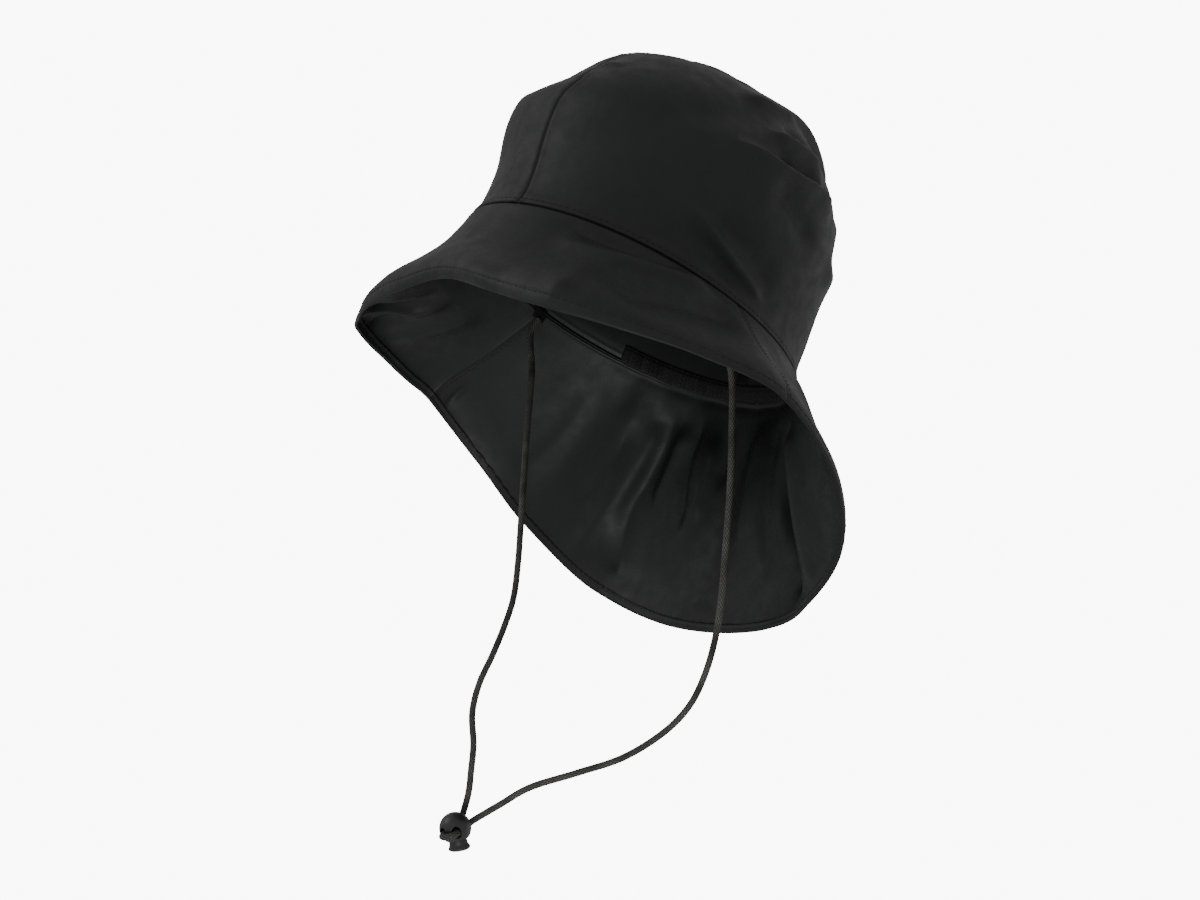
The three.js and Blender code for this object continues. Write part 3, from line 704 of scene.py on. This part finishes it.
# ---- folds seen in the photograph ----
# each fold: line of (angle, share) along the hat, height in mm, half width in mm left and right of the line
crownFolds = [
    ([(70, 0.375), (80, 0.388), (90, 0.4), (100, 0.416), (110, 0.438), (126, 0.446)], 5.0, 3.2, 9.0),
    ([(84, 0.432), (93, 0.441), (104, 0.462), (116, 0.486)], -6.5, 5.5, 3.6),
    ([(88, 0.33), (97, 0.335), (106, 0.32), (118, 0.3)], -3.8, 8.0, 8.0),
    ([(80, 0.49), (92, 0.512), (104, 0.53), (118, 0.54)], 4.6, 3.0, 7.0),
    ([(88, 0.566), (100, 0.574), (116, 0.572)], -4.6, 5.5, 3.4),
    ([(66, 0.57), (76, 0.605), (86, 0.64), (96, 0.672), (110, 0.7)], 4.2, 7.0, 3.0),
    ([(76, 0.66), (88, 0.7), (100, 0.74)], -3.0, 4.5, 6.0),
    ([(62, 0.165), (72, 0.137), (85, 0.093), (103, 0.048)], 2.6, 3.6, 3.6),
    ([(70, 0.19), (86, 0.145), (104, 0.105)], -2.4, 9.0, 5.0),
    ([(64, 0.11), (78, 0.07), (94, 0.038)], -1.8, 6.0, 4.0),
    ([(13.5, 0.38), (9, 0.43), (5, 0.487)], 1.6, 2.4, 4.0),
    ([(5, 0.487), (14, 0.49), (24, 0.478)], 1.5, 4.0, 2.0),
    ([(-2.5, 0.03), (4.3, 0.047), (12, 0.062)], 1.2, 2.0, 2.4),
    ([(30, 0.74), (60, 0.79), (95, 0.83)], 1.6, 8.0, 5.0),
    ([(-34, 0.6), (-14, 0.66), (2, 0.7)], -1.2, 7.0, 6.0),
    ([(128, 0.28), (150, 0.32), (172, 0.29)], 2.6, 6.0, 9.0),
    ([(140, 0.5), (160, 0.465), (185, 0.485)], 3.0, 3.4, 9.0),
    ([(144, 0.52), (162, 0.495), (184, 0.515)], -2.4, 5.0, 3.0),
    ([(186, 0.62), (206, 0.6), (228, 0.555)], 2.8, 4.4, 8.0),
    ([(200, 0.36), (222, 0.4), (248, 0.38)], 2.4, 3.6, 9.0),
    ([(256, 0.5), (276, 0.54), (302, 0.525)], 2.6, 3.4, 9.0),
    ([(260, 0.17), (280, 0.12), (300, 0.055)], 2.2, 4.4, 4.4),
    ([(310, 0.33), (330, 0.36), (348, 0.335)], 1.4, 5.0, 8.0),
]
skirtFoldLines = [
    ([(22, 0.0), (38.4, 0.12), (53, 0.13), (70, 0.08)], -2.8, 6.0, 7.0),
    ([(28, 0.24), (44, 0.3), (58, 0.24), (78, 0.1)], 2.0, 6.0, 7.0),
    ([(39.0, 0.98), (43.5, 0.83), (45.1, 0.6), (46.5, 0.42), (55.6, 0.3), (82, 0.08)], 2.8, 5.5, 12.0),
    ([(54, 0.86), (60, 0.62), (72, 0.42), (88, 0.27)], -3.4, 13.0, 11.0),
    ([(5, 0.94), (14, 0.92), (25, 0.975)], 1.6, 5.0, 7.0),
    ([(-48.7, 0.95), (-57, 0.76), (-62.8, 0.637), (-63.7, 0.55), (-66.2, 0.337)], -2.8, 4.0, 4.0),
    ([(-49.5, 0.84), (-50.3, 0.72), (-54.6, 0.507), (-55.2, 0.353)], -2.6, 4.0, 4.0),
    ([(-50, 0.9), (-53.2, 0.767), (-60.6, 0.4)], 2.4, 3.2, 3.2),
    ([(-58.7, 0.97), (-62.5, 0.757), (-64.9, 0.6)], 2.4, 3.2, 3.2),
    ([(-78, 0.25), (-74, 0.6), (-70, 0.92)], -1.8, 7.0, 7.0),
    ([(-38, 0.3), (-40, 0.6), (-43, 0.96)], -2.0, 7.0, 7.0),
    ([(266.5, 0.72), (265.2, 0.76), (265, 0.97)], 1.6, 2.6, 2.6),
    ([(151, 0.1), (152, 0.187), (154.5, 0.437), (149, 0.697), (144, 0.93)], 8.5, 5.0, 7.0),
    ([(139, 0.2), (137.7, 0.487), (137.5, 0.77), (136, 0.97)], -3.6, 8.0, 8.0),
    ([(223, 0.2), (223.3, 0.353), (226, 0.5), (229, 0.75)], 2.0, 7.0, 7.0),
    ([(214, 0.15), (216, 0.31), (219, 0.513), (223, 0.72), (227, 0.97)], -2.2, 7.0, 7.0),
    ([(210, 0.06), (211.6, 0.273), (213.6, 0.43), (216.2, 0.633), (213.9, 0.94)], 3.0, 6.5, 7.0),
    ([(205.5, 0.12), (206.7, 0.29), (209.7, 0.58)], -2.8, 5.0, 4.6),
    ([(200, 0.06), (200.8, 0.2), (201.3, 0.33), (197.6, 0.62)], 3.2, 4.6, 4.6),
    ([(193, 0.14), (193.4, 0.35), (193.8, 0.6)], -2.6, 4.6, 4.6),
    ([(188, 0.05), (188.6, 0.2), (188, 0.42)], 2.4, 4.2, 4.2),
    ([(173, 0.06), (174, 0.3), (171, 0.65)], -2.2, 6.0, 6.0),
    ([(164, 0.08), (164, 0.4), (160, 0.8)], 2.4, 6.0, 6.0),
    ([(238, 0.15), (240, 0.5), (245, 0.88)], -2.0, 8.0, 8.0),
    ([(120, 0.06), (121, 0.3), (123, 0.65)], 1.8, 6.0, 6.0),
]


def foldLine(path, base, step=1.2):
    # smooth line through the fold's places, evenly spaced over the plain form
    path = np.asarray(path, float)
    knots = np.column_stack([np.arange(len(path)), path])
    place = np.linspace(0, len(path) - 1, 40 * (len(path) - 1))
    line = np.column_stack([hermite(knots, 1, place), hermite(knots, 2, place)])
    spots = base(line[:, 0], line[:, 1])
    run = np.concatenate([[0], np.cumsum(np.linalg.norm(np.diff(spots, axis=0), axis=1))])
    even = np.linspace(0, run[-1], max(int(run[-1] / step), 4))
    pick = [np.interp(even, run, column) for column in (*line.T, *spots.T)]
    return np.column_stack(pick[:2]), np.column_stack(pick[2:]), even


def foldRise(points, angle, share, folds, base, shareLength):
    # height times exp(-(distance / half width)^1.7), fading in and out along the line
    rise = np.zeros(points.shape[:-1])
    for path, height, leftWidth, rightWidth in folds:
        line, spots, run = foldLine(path, base)
        margin = 3 * max(leftWidth, rightWidth)
        near = np.all((points > spots.min(0) - margin) & (points < spots.max(0) + margin), -1)
        if not near.any():
            continue
        away = points[near][:, None] - spots[None]
        closest = (away**2).sum(-1).argmin(1)
        tangent = unit(np.gradient(spots, axis=0))[closest]
        step = points[near] - spots[closest]
        ahead = (step * tangent).sum(-1)
        gap = np.linalg.norm(step - tangent * ahead[:, None], axis=-1)
        flow = np.gradient(line, axis=0)[closest] * (1.6, shareLength)
        apart = np.column_stack([turnBetween(angle[near], line[closest, 0]) * 1.6, (share[near] - line[closest, 1]) * shareLength])
        isLeft = flow[:, 0] * apart[:, 1] - flow[:, 1] * apart[:, 0] > 0
        width = np.where(isLeft, leftWidth, rightWidth)
        fade = min(0.42 * run[-1], 16.0)
        along = np.clip(run[closest] + ahead, 0, run[-1])
        ends = smooth(along, 0, fade) * (1 - smooth(along, run[-1] - fade, run[-1]))
        rise[near] += height * np.exp(-((gap / width) ** 1.7)) * ends
    return rise


def crumple(points, strength):
    # slack cloth: ridges of a random field at three sizes
    rise = np.zeros(points.shape[:-1])
    for cell, share, seed in ((34.0, 0.6, 3), (17.0, 0.28, 5), (8.0, 0.1, 8)):
        warp = valueNoise(points, cell * 1.7, seed + 20)[..., None] * cell * 0.5
        field = valueNoise(points + warp, cell, seed)
        rise += share * (0.55 - 1.4 * np.abs(field))
    return rise * strength


def nearEnds(start, end, count, close):
    # places from start to end, with a few extra ones close to both ends
    inner = np.linspace(start + close[-1], end - close[-1], count)
    return np.concatenate([start + np.array([0, *close[:-1]]), inner, end - np.array([0, *close[:-1]])[::-1]])


def grooveAt(distance, depth, width):
    return -depth * np.exp(-((distance / width) ** 2))


# ---- crown panels ----
crownSet = {
    "columns": 176, "rows": 122, "wall": 0.8, "tuckDepth": 1.3, "tuckWidth": 1.1, "puff": 0.35,
    "crumple": 0.5, "stitchRow": 4.3, "stitchGroove": 0.35,
}
# how far the centre seam wanders from the middle at the front, in degrees, by share of the profile
seamDrift = np.array([
    (0, 10.8), (0.1, 9.6), (0.2, 8.2), (0.3, 8.6), (0.38, 11.6), (0.42, 10.4), (0.5, 7.4), (0.62, 4.2),
    (0.8, 1.4), (1, 0.0),
])


def crownAngle(turn, share):
    toFront = np.maximum(1 - np.abs(turn) / 90, 0)
    return turn + hermite(seamDrift, 1, share) * toFront**2


def crownSurface(turn, share):
    # plain crown, closed at the head line, with the photograph's folds, slack, tucked seams and a stitched groove
    angle = crownAngle(turn, share)
    plain = crownBase(angle, share)
    up = share * profileLength
    plain[..., 2] -= hat["seamGap"] / 2 * np.exp(-up / 3)
    normal = gridNormals(plain)
    fade = smooth(share, 0.955, 0.99)[..., None]
    normal = unit(normal * (1 - fade) + np.array([0, 0, 1]) * fade)
    rise = foldRise(plain, angle, share, crownFolds, crownBase, profileLength) + crumple(plain, crownSet["crumple"])
    rise = rise * smooth(up, 2, 13) * (1 - smooth(share, 0.93, 0.99))
    size = np.maximum(hermite(crownProfile, 2, share), 0.03)
    ring = hat["headDepth"] / 2 * size
    toSeam = np.radians(np.minimum(np.abs(turn), 180 - np.abs(turn))) * ring * 0.93
    rise = rise * (0.35 + 0.65 * smooth(toSeam, 1, 9))
    pucker = 1 + 0.35 * np.sin(up * 2 * np.pi / 7.3 + 2 * np.sin(up / 9))
    for distance, tuck in ((up, 1.0), (toSeam, 0.72)):
        rise = rise + grooveAt(distance, crownSet["tuckDepth"] * tuck, crownSet["tuckWidth"] * tuck)
        rise = rise + crownSet["puff"] * np.exp(-(((distance - 3.2) / 2.2) ** 2)) * pucker
    rise = rise + grooveAt(up - crownSet["stitchRow"], crownSet["stitchGroove"], 0.7)
    rise = rise * (1 - smooth(share, 0.985, 1.0))
    return plain + normal * rise[..., None], normal


def crownPanel(side, name):
    close = np.array([0.15, 0.35, 0.6, 0.9, 1.25, 1.7, 2.2, 2.8])
    turn = nearEnds(0, 180, crownSet["columns"], close)
    turn = turn if side > 0 else -turn[::-1]
    rise = np.concatenate([[0, 0.3, 0.6, 0.9, 1.3, 1.8, 2.4, 3.0, 3.5, 3.9, 4.3, 4.7, 5.1, 5.7, 6.5, 7.6]])
    share = np.concatenate([rise / profileLength, np.linspace(9 / profileLength, 1, crownSet["rows"])])
    turn, share = np.meshgrid(turn, share)
    outer, normal = crownSurface(turn, share)
    facing = gridNormals(outer)
    facing = np.where((facing * normal).sum(-1, keepdims=True) > 0.3, facing, normal)
    fade = smooth(share, 0.955, 0.99)[..., None]
    facing = unit(facing * (1 - fade) + np.array([0, 0, 1]) * fade)
    inner = outer - facing * crownSet["wall"]
    outer[:, :, 2] = np.where(share == 0, 0, outer[:, :, 2])
    inner[:, :, 2] = np.where(share == 0, 0, inner[:, :, 2])
    around = np.radians(crownAngle(turn, share)) * headRadius(turn)
    uv = np.stack([around / 1000, share * profileLength / 1000], -1)
    # outer face in shell cloth, inner face in the crown-inside cloth painted lighter as fill light
    panel = shell(name, hatTip(outer), hatTip(inner), uv, [shellOuter, paintedLightCrownInside], False, True)
    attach(panel, "hat")
    return panel


crownLeft = crownPanel(1, "crown_cloth_left")
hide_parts("crown_left_panel")
crownRight = crownPanel(-1, "crown_cloth_right")
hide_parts("crown_right_panel")
print("crown made")

# ---- brim and flap ----
skirtSet = {
    "wall": 0.9, "hem": 5.3, "hemExtra": 0.6, "hemStitch": 4.2, "stitchGroove": 0.35, "tuckDepth": 1.2,
    "tuckWidth": 1.1, "puff": 0.3, "crumple": 0.5, "jointStitch": 2.6,
}


def skirtSurface(angle, share):
    # plain brim and flap with folds, slack, tucked seams at the head line and the side joints, and the hem's groove
    length = skirtLength(angle)
    plain = skirtBase(angle, share)
    down = share * length
    plain[..., 2] += hat["seamGap"] / 2 * np.exp(-down / 3)
    normal = -gridNormals(plain)
    rise = foldRise(plain, angle, share, skirtFoldLines, skirtBase, 95.0) + crumple(plain, skirtSet["crumple"])
    rise = rise * smooth(down, 1.5, 10)
    toHem = length - down
    ring = headRadius(angle) + skirtReach(angle) * share
    toJoint = np.radians(np.abs(np.abs(turnBetween(angle, 0)) - hat["sideJoint"])) * ring
    rise = rise * (0.4 + 0.6 * smooth(toJoint, 1, 8))
    pucker = 1 + 0.35 * np.sin(np.radians(angle) * ring * 2 * np.pi / 7.9)
    rise = rise + grooveAt(down, skirtSet["tuckDepth"], skirtSet["tuckWidth"])
    rise = rise + skirtSet["puff"] * np.exp(-(((down - 3.0) / 2.2) ** 2))
    rise = rise + grooveAt(toJoint, skirtSet["tuckDepth"] * 0.4, skirtSet["tuckWidth"])
    rise = rise + grooveAt(toJoint - skirtSet["jointStitch"], skirtSet["stitchGroove"] * 0.4, 0.7)
    rise = rise + grooveAt(toHem - skirtSet["hemStitch"], skirtSet["stitchGroove"] * 0.8, 0.7)
    band = 1 - smooth(toHem, 4.2, 6.5)
    rise = rise + 0.3 * band * (pucker - 1) * smooth(toHem, 0.5, 4)
    return plain, normal, rise


def skirtPanel(name, start, end, columns, rows):
    close = np.array([0.12, 0.3, 0.55, 0.85, 1.2, 1.6, 2.0, 2.5])
    turn = nearEnds(start, end, columns, close)[None, :]
    length = skirtLength(turn)
    fromHem = np.array([9.6, 8.0, 6.8, 6.0, 5.6, 5.35, 5.15, 4.95, 4.7, 4.45, 4.2, 3.9, 3.4, 2.6, 1.9, 1.3, 0.8, 0.45, 0.2, 0.06, 0])
    fromSeam = np.array([0, 0.3, 0.6, 0.9, 1.3, 1.8, 2.4, 3.2, 4.2, 5.4])[:, None] / length
    middle = 6.8 / length + np.linspace(0, 1, rows)[:, None] * (1 - 17.6 / length)
    share = np.vstack([fromSeam, middle, 1 - fromHem[:, None] / length])
    share, angle = np.broadcast_arrays(share, turn)
    plain, normal, rise = skirtSurface(angle, share)
    toHem = (1 - share) * length
    extra = skirtSet["hemExtra"] * (1 - smooth(toHem, skirtSet["hem"] - 0.4, skirtSet["hem"]))
    edge = np.sqrt(np.clip(1 - (1 - np.clip(toHem / 0.8, 0, 1)) ** 2, 0.01, 1))
    full = skirtSet["wall"] + extra
    wall = full * edge
    outer = plain + normal * (rise + extra / 2 - (full - wall) / 2)[..., None]
    facing = -gridNormals(outer)
    inner = outer - facing * wall[..., None]
    outer[:, :, 2] = np.where(share == 0, 0, outer[:, :, 2])
    inner[:, :, 2] = np.where(share == 0, 0, inner[:, :, 2])
    around = np.radians(angle) * (headRadius(angle) + skirtReach(angle) * share)
    uv = np.stack([around / 1000, share * length / 1000], -1)
    panel = shell(name, hatTip(outer), hatTip(inner), uv, [shellOuter, shellInner], True, False)
    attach(panel, "hat")
    return panel


brimCloth = skirtPanel("front_brim_cloth", -hat["sideJoint"], hat["sideJoint"], 330, 60)
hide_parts("front_brim")
flapCloth = skirtPanel("neck_flap_cloth", hat["sideJoint"], 360 - hat["sideJoint"], 400, 74)
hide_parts("neck_flap")
print("brim and flap made")

# ---- stitches ----
stitchSet = {"length": 2.7, "space": 1.0, "radius": 0.24, "lift": 0.12}


def stitchRow(name, line, normal, body="hat"):
    # short rounded bars of thread laid end to end along a line, each dipping into the cloth at its ends
    run = np.concatenate([[0], np.cumsum(np.linalg.norm(np.diff(line, axis=0), axis=1))])
    pitch = stitchSet["length"] + stitchSet["space"]
    starts = np.arange(1.0, run[-1] - pitch, pitch)
    ring = np.linspace(0, stitchSet["length"], 5)
    at = starts[:, None] + ring[None, :]
    pick = lambda values: np.stack([np.interp(at, run, values[:, k]) for k in range(3)], -1)
    middle = pick(line)
    up = unit(pick(normal))
    ahead = unit(np.gradient(middle, axis=1))
    side = np.cross(ahead, up)
    lift = np.array([-0.2, 0.6, 1.0, 0.6, -0.2]) * stitchSet["lift"]
    radius = np.array([0.35, 0.9, 1.0, 0.9, 0.35]) * stitchSet["radius"]
    turn = np.linspace(0, 2 * np.pi, 6, endpoint=False)
    out = np.cos(turn)[:, None] * side[:, :, None] + np.sin(turn)[:, None] * up[:, :, None]
    points = (middle + up * lift[:, None])[:, :, None] + out * radius[:, None, None]
    count = len(starts)
    index = np.arange(count * 30).reshape(count, 5, 6)
    wrapped = np.concatenate([index, index[:, :, :1]], 2)
    a, b = wrapped[:, :-1, :-1], wrapped[:, :-1, 1:]
    c, d = wrapped[:, 1:, 1:], wrapped[:, 1:, :-1]
    faces = np.stack([a, b, c, d], -1).reshape(-1, 4).tolist()
    faces += index[:, 0, ::-1].tolist() + index[:, -1, :].tolist()
    row = addMesh(name, points.reshape(-1, 3), faces, [threadMaterial])
    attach(row, body)
    return row


def crownStitchLine(rise, turns):
    # line along the crown at one rise above the head line, read off a narrow strip of its surface
    share = (rise + np.array([-0.5, 0, 0.5]))[:, None] / profileLength
    turn, share = np.broadcast_arrays(turns[None, :], share)
    strip, normal = crownSurface(turn, share)
    return hatTip(strip[1]), hatTip(normal[1])


def skirtStitchLine(angle, share, across, inside):
    # line on brim or flap, read off a narrow strip of its surface; across says along which way the strip widens
    step = np.array([-0.3, 0, 0.3])[:, None]
    if across == "share":
        share3 = share[None, :] + step / skirtLength(angle)[None, :]
        angle3 = np.broadcast_to(angle[None, :], share3.shape)
        plain, normal, rise = skirtSurface(angle3, share3)
        middle = (slice(1, 2), slice(None))
    else:
        angle3 = (angle[None, :] + step * 0.5).T
        share3 = np.broadcast_to(share[:, None], angle3.shape)
        plain, normal, rise = skirtSurface(angle3, share3)
        middle = (slice(None), slice(1, 2))
    toHem = (1 - share3) * skirtLength(angle3)
    extra = skirtSet["hemExtra"] * (1 - smooth(toHem, skirtSet["hem"] - 0.4, skirtSet["hem"]))
    height = rise + extra / 2
    if inside:
        height = height - skirtSet["wall"] - extra
    points = (plain + normal * height[..., None])[middle].reshape(-1, 3)
    facing = normal[middle].reshape(-1, 3) * (-1 if inside else 1)
    return hatTip(points), hatTip(facing)


stitchSides = (("left", np.linspace(0.8, 179.2, 700)), ("right", np.linspace(-179.2, -0.8, 700)))
for word, turns in stitchSides:
    stitchRow(f"crown_base_stitches_{word}", *crownStitchLine(crownSet["stitchRow"], turns))
for word, start, end in (("brim", -90.6, 90.6), ("flap", 91.4, 268.6)):
    angle = np.linspace(start, end, 900)
    share = 1 - skirtSet["hemStitch"] / skirtLength(angle)
    for inside in (False, True):
        place = "inside" if inside else "outside"
        stitchRow(f"{word}_hem_stitches_{place}", *skirtStitchLine(angle, share, "share", inside))
for word, joint in (("left", hat["sideJoint"]), ("right", 360 - hat["sideJoint"])):
    for offset in (-1, 1)[int(joint < 180):][:1]:
        share = np.linspace(0.03, 0.97, 240)
        ring = headRadius(joint) + skirtReach(joint) * share
        angle = joint + offset * np.degrees(skirtSet["jointStitch"] / ring)
        for inside in (False, True):
            place = "inside" if inside else "outside"
            end = "front" if (offset < 0) == (joint < 180) else "back"
            stitchRow(f"joint_stitches_{word}_{end}_{place}", *skirtStitchLine(angle, share, "angle", inside))
print("stitches made")

# ---- casing, patch, label and tabs ----
casingSet = {
    "rise": 0.5, "height": 8.5, "seat": 1.0, "wall": 1.0, "puff": 1.15, "ruffles": 26, "from": 122.0,
    "patchHalf": 25.0, "patchWall": 0.9, "labelWidth": 9.0, "labelHeight": 6.0, "labelOffset": -19.0,
    "labelWall": 0.45,
}


def insideCrown(angle, rise, inset):
    # place inside the crown's wall, square to it
    share = rise / profileLength
    spot = crownBase(angle, share)
    ahead = crownBase(angle + 0.5, share) - spot
    above = crownBase(angle, share + 0.004) - spot
    outward = unit(np.cross(ahead, above))
    return spot - outward * np.asarray(inset)[..., None], -outward


def liningPiece(name, node, angle, rise, front, back, material, replaced=True):
    # a closed sheet on the crown's inner wall between two insets
    hidden, _ = insideCrown(angle, rise, back)
    seen, _ = insideCrown(angle, rise, front)
    uv = np.stack([np.radians(angle) * headRadius(angle) / 1000, rise / 1000], -1)
    made = shell(name, hatTip(hidden), hatTip(seen), uv, [material, material], False, False)
    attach(made, "hat")
    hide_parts(node)
    return made


patchHalf = np.degrees(casingSet["patchHalf"] / (hat["headDepth"] / 2))
casingEnd = 180 - patchHalf - 0.3
for word, start, end in (("left", casingSet["from"], casingEnd), ("right", 360 - casingEnd, 360 - casingSet["from"])):
    angle, level = np.meshgrid(np.linspace(start, end, 420), np.linspace(0, 1, 27))
    rise = casingSet["rise"] + casingSet["height"] * level
    phase = (angle - start) / (end - start) * casingSet["ruffles"] * 2 * np.pi
    wander = 1.6 * valueNoise(np.stack([angle / 3.1, level * 1.3, level * 0], -1), 1.0, 11)
    ruffle = 0.5 + 0.5 * np.cos(phase + wander)
    pillow = np.sqrt(np.clip(1 - np.abs(2 * level - 1) ** 3, 0, 1))
    lines = grooveAt(level - 0.13, 0.5, 0.035) + grooveAt(level - 0.87, 0.5, 0.035)
    puff = casingSet["puff"] * (0.25 + 0.75 * ruffle) * pillow * (0.8 + 0.4 * valueNoise(np.stack([angle, angle * 0, level], -1), 2.0, 12))
    ends = smooth(np.minimum(angle - start, end - angle), 0, 0.5)
    front = casingSet["seat"] + (casingSet["wall"] + puff + lines) * (0.25 + 0.75 * ends) * (0.25 + 0.75 * pillow)
    casing = liningPiece(f"gathered_casing_{word}", f"back_casing_{word}", angle, rise, front, np.full(front.shape, casingSet["seat"]), tapeMaterial)
angle, level = np.meshgrid(np.linspace(180 - patchHalf, 180 + patchHalf, 121), np.linspace(0, 1, 31))
rise = casingSet["rise"] + casingSet["height"] * level
across = (angle - 180) / patchHalf * casingSet["patchHalf"]
toEdge = np.minimum(casingSet["patchHalf"] - np.abs(across), casingSet["height"] * (0.5 - np.abs(level - 0.5)))
rounded = np.sqrt(np.clip(1 - (1 - np.clip(toEdge / 0.6, 0, 1)) ** 2, 0.02, 1))
slack = 0.12 * valueNoise(np.stack([across, rise, rise * 0], -1), 5.0, 14)
front = casingSet["seat"] + (casingSet["patchWall"] + 0.25 + slack) * rounded + grooveAt(toEdge - 1.6, 0.25, 0.45)
patch = liningPiece("stitched_patch", "back_patch", angle, rise, front, np.full(front.shape, casingSet["seat"]), tapeMaterial)


def patchStitches(name, corners):
    # a row over the patch through corners given across it and up it, in mm
    corners = np.asarray(corners, float)
    run = np.concatenate([[0], np.cumsum(np.linalg.norm(np.diff(corners, axis=0), axis=1))])
    even = np.linspace(0, run[-1], int(run[-1] / 0.5))
    x = np.interp(even, run, corners[:, 0])
    up = np.interp(even, run, corners[:, 1])
    turned = 180 + x / casingSet["patchHalf"] * patchHalf
    spots, facing = insideCrown(turned, up, np.full(len(x), casingSet["seat"] + casingSet["patchWall"] + 0.15))
    stitchRow(name, hatTip(spots), hatTip(facing))


low = casingSet["rise"] + 1.5
high = casingSet["rise"] + casingSet["height"] - 1.5
for word, start, end in (("left", 23.2, 4.5), ("right", -4.5, -23.2), ("middle", 3.2, -3.2)):
    patchStitches(f"patch_box_{word}", [(start, low), (start, high), (end, high), (end, low), (start, low)])
patchStitches("patch_cross_left", [(22, low + 0.6), (6, high - 0.6)])
patchStitches("patch_cross_right", [(-22, low + 0.6), (-6, high - 0.6)])

labelMiddle = 180 - np.degrees(casingSet["labelOffset"] / (hat["headDepth"] / 2))
labelHalf = np.degrees(casingSet["labelWidth"] / 2 / (hat["headDepth"] / 2))
angle, level = np.meshgrid(np.linspace(labelMiddle - labelHalf, labelMiddle + labelHalf, 41), np.linspace(0, 1, 29))
rise = casingSet["rise"] + casingSet["height"] + 0.4 + casingSet["labelHeight"] * level
across = (angle - labelMiddle) / labelHalf * casingSet["labelWidth"] / 2
toEdge = np.minimum(casingSet["labelWidth"] / 2 - np.abs(across), casingSet["labelHeight"] * (0.5 - np.abs(level - 0.5)))
rounded = np.sqrt(np.clip(1 - (1 - np.clip(toEdge / 0.3, 0, 1)) ** 2, 0.02, 1))
front = casingSet["seat"] + casingSet["labelWall"] * rounded + 0.15 * (1 - level) * np.cos(across * 0.7) + grooveAt(toEdge - 0.7, 0.1, 0.2)
label = liningPiece("bare_label", "inner_label", angle, rise, front, np.full(front.shape, casingSet["seat"] - 0.1), labelMaterial)

tabSet = {"width": 8.4, "wall": 1.2, "drop": 7.0, "top": 0.6, "fold": 2.1}
for word, side in (("left", 1), ("right", -1)):
    # a tape loop: a rounded bar around the cord's end, pressed flat toward its stitched top
    across, level = np.meshgrid(np.linspace(-1, 1, 45), np.linspace(0, 1, 41))
    turn = np.pi * across
    halfWidth = tabSet["width"] / 2 * (1 - 0.1 * level**2)
    thick = tabSet["wall"] * (0.9 + 0.25 * level)
    flat = np.sign(np.cos(turn)) * np.abs(np.cos(turn)) ** 0.35
    wide = np.sign(np.sin(turn)) * np.abs(np.sin(turn)) ** 0.8
    ribs = 0.05 * np.cos(wide * 9 * np.pi)
    x = side * cordSet["tabCentre"] + flat * (thick / 2 + ribs)
    y = wide * halfWidth
    closing = np.sqrt(np.clip(1 - (np.abs(2 * level - 1)) ** 14, 0.0, 1))
    x = side * cordSet["tabCentre"] + (x - side * cordSet["tabCentre"]) * closing
    z = tabSet["top"] - tabSet["drop"] * level
    points = hatTip(np.stack([x, y, z], -1))
    rows, columns = points.shape[:2]
    index = np.arange(rows * columns).reshape(rows, columns)
    index[:, -1] = index[:, 0]
    faces = quads(index, side < 0).tolist()
    uv = np.stack([y / 1000, z / 1000], -1).reshape(-1, 2)
    tab = addMesh(f"tape_tab_{word}", points.reshape(-1, 3), faces, [tapeMaterial], None, uv)
    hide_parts(f"cord_tab_{word}")
    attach(tab, "hat")
print("casing, patch, label and tabs made")

# ---- light and floor ----
lightSet = {
    "floorHeight": -1.6,
    "world": 0.5,
    "backdrop": 9.5,
    "boxes": [
        # name, place, aims at, width, height, watts
        ("frontLeft", (-0.9, -1.6, 0.45), (0, 0, 0), 0.8, 0.9, 7),
        ("rimRight", (0.4, 1.7, 0.2), (0, 0, 0), 0.6, 1.0, 1.4),
        ("below", (0.7, -0.3, -1.3), (0, 0, -0.05), 0.7, 0.7, 3.0),
        ("intoCrown", (0.62, -0.5, -0.9), (0.0, 0.04, 0.05), 0.3, 0.3, 2.6),
    ],
}


def addSoftbox(name, place, target, width, height, watts):
    data = bpy.data.lights.new(name, "AREA")
    data.shape = "RECTANGLE"
    data.size = width
    data.size_y = height
    data.energy = watts
    lamp = bpy.data.objects.new(name, data)
    scene.collection.objects.link(lamp)
    back = unit(np.array(place) - np.array(target))
    right = unit(np.cross([0, 0, 1], back))
    turned = Matrix((right, np.cross(back, right), back)).transposed().to_4x4()
    turned.translation = place
    lamp.matrix_world = turned


for softbox in lightSet["boxes"]:
    addSoftbox(*softbox)
world = bpy.data.worlds.new("paleStudio")
scene.world = world
world.use_nodes = True
backdrop = world.node_tree.nodes["Background"]
backdrop.inputs["Color"].default_value = (1, 1, 1, 1)
lightPath = world.node_tree.nodes.new("ShaderNodeLightPath")
strength = mathNode(world.node_tree, "MULTIPLY", lightPath.outputs["Is Camera Ray"], lightSet["backdrop"] - lightSet["world"])
world.node_tree.links.new(mathNode(world.node_tree, "ADD", strength, lightSet["world"]), backdrop.inputs["Strength"])
floorSize = 6000.0
corners = np.array([[-1, -1], [1, -1], [1, 1], [-1, 1]]) * floorSize
floorPoints = np.column_stack([corners, np.full(4, lightSet["floorHeight"] * 1000)])
floorMaterial = bpy.data.materials.new("paleFloor")
floorMaterial.use_nodes = True
floorMaterial.node_tree.nodes["Principled BSDF"].inputs["Base Color"].default_value = (0.85, 0.85, 0.85, 1)
floorMaterial.node_tree.nodes["Principled BSDF"].inputs["Roughness"].default_value = 0.9
floor = addMesh("studioFloor", floorPoints, [[0, 1, 2, 3]], [floorMaterial])

print("all made")
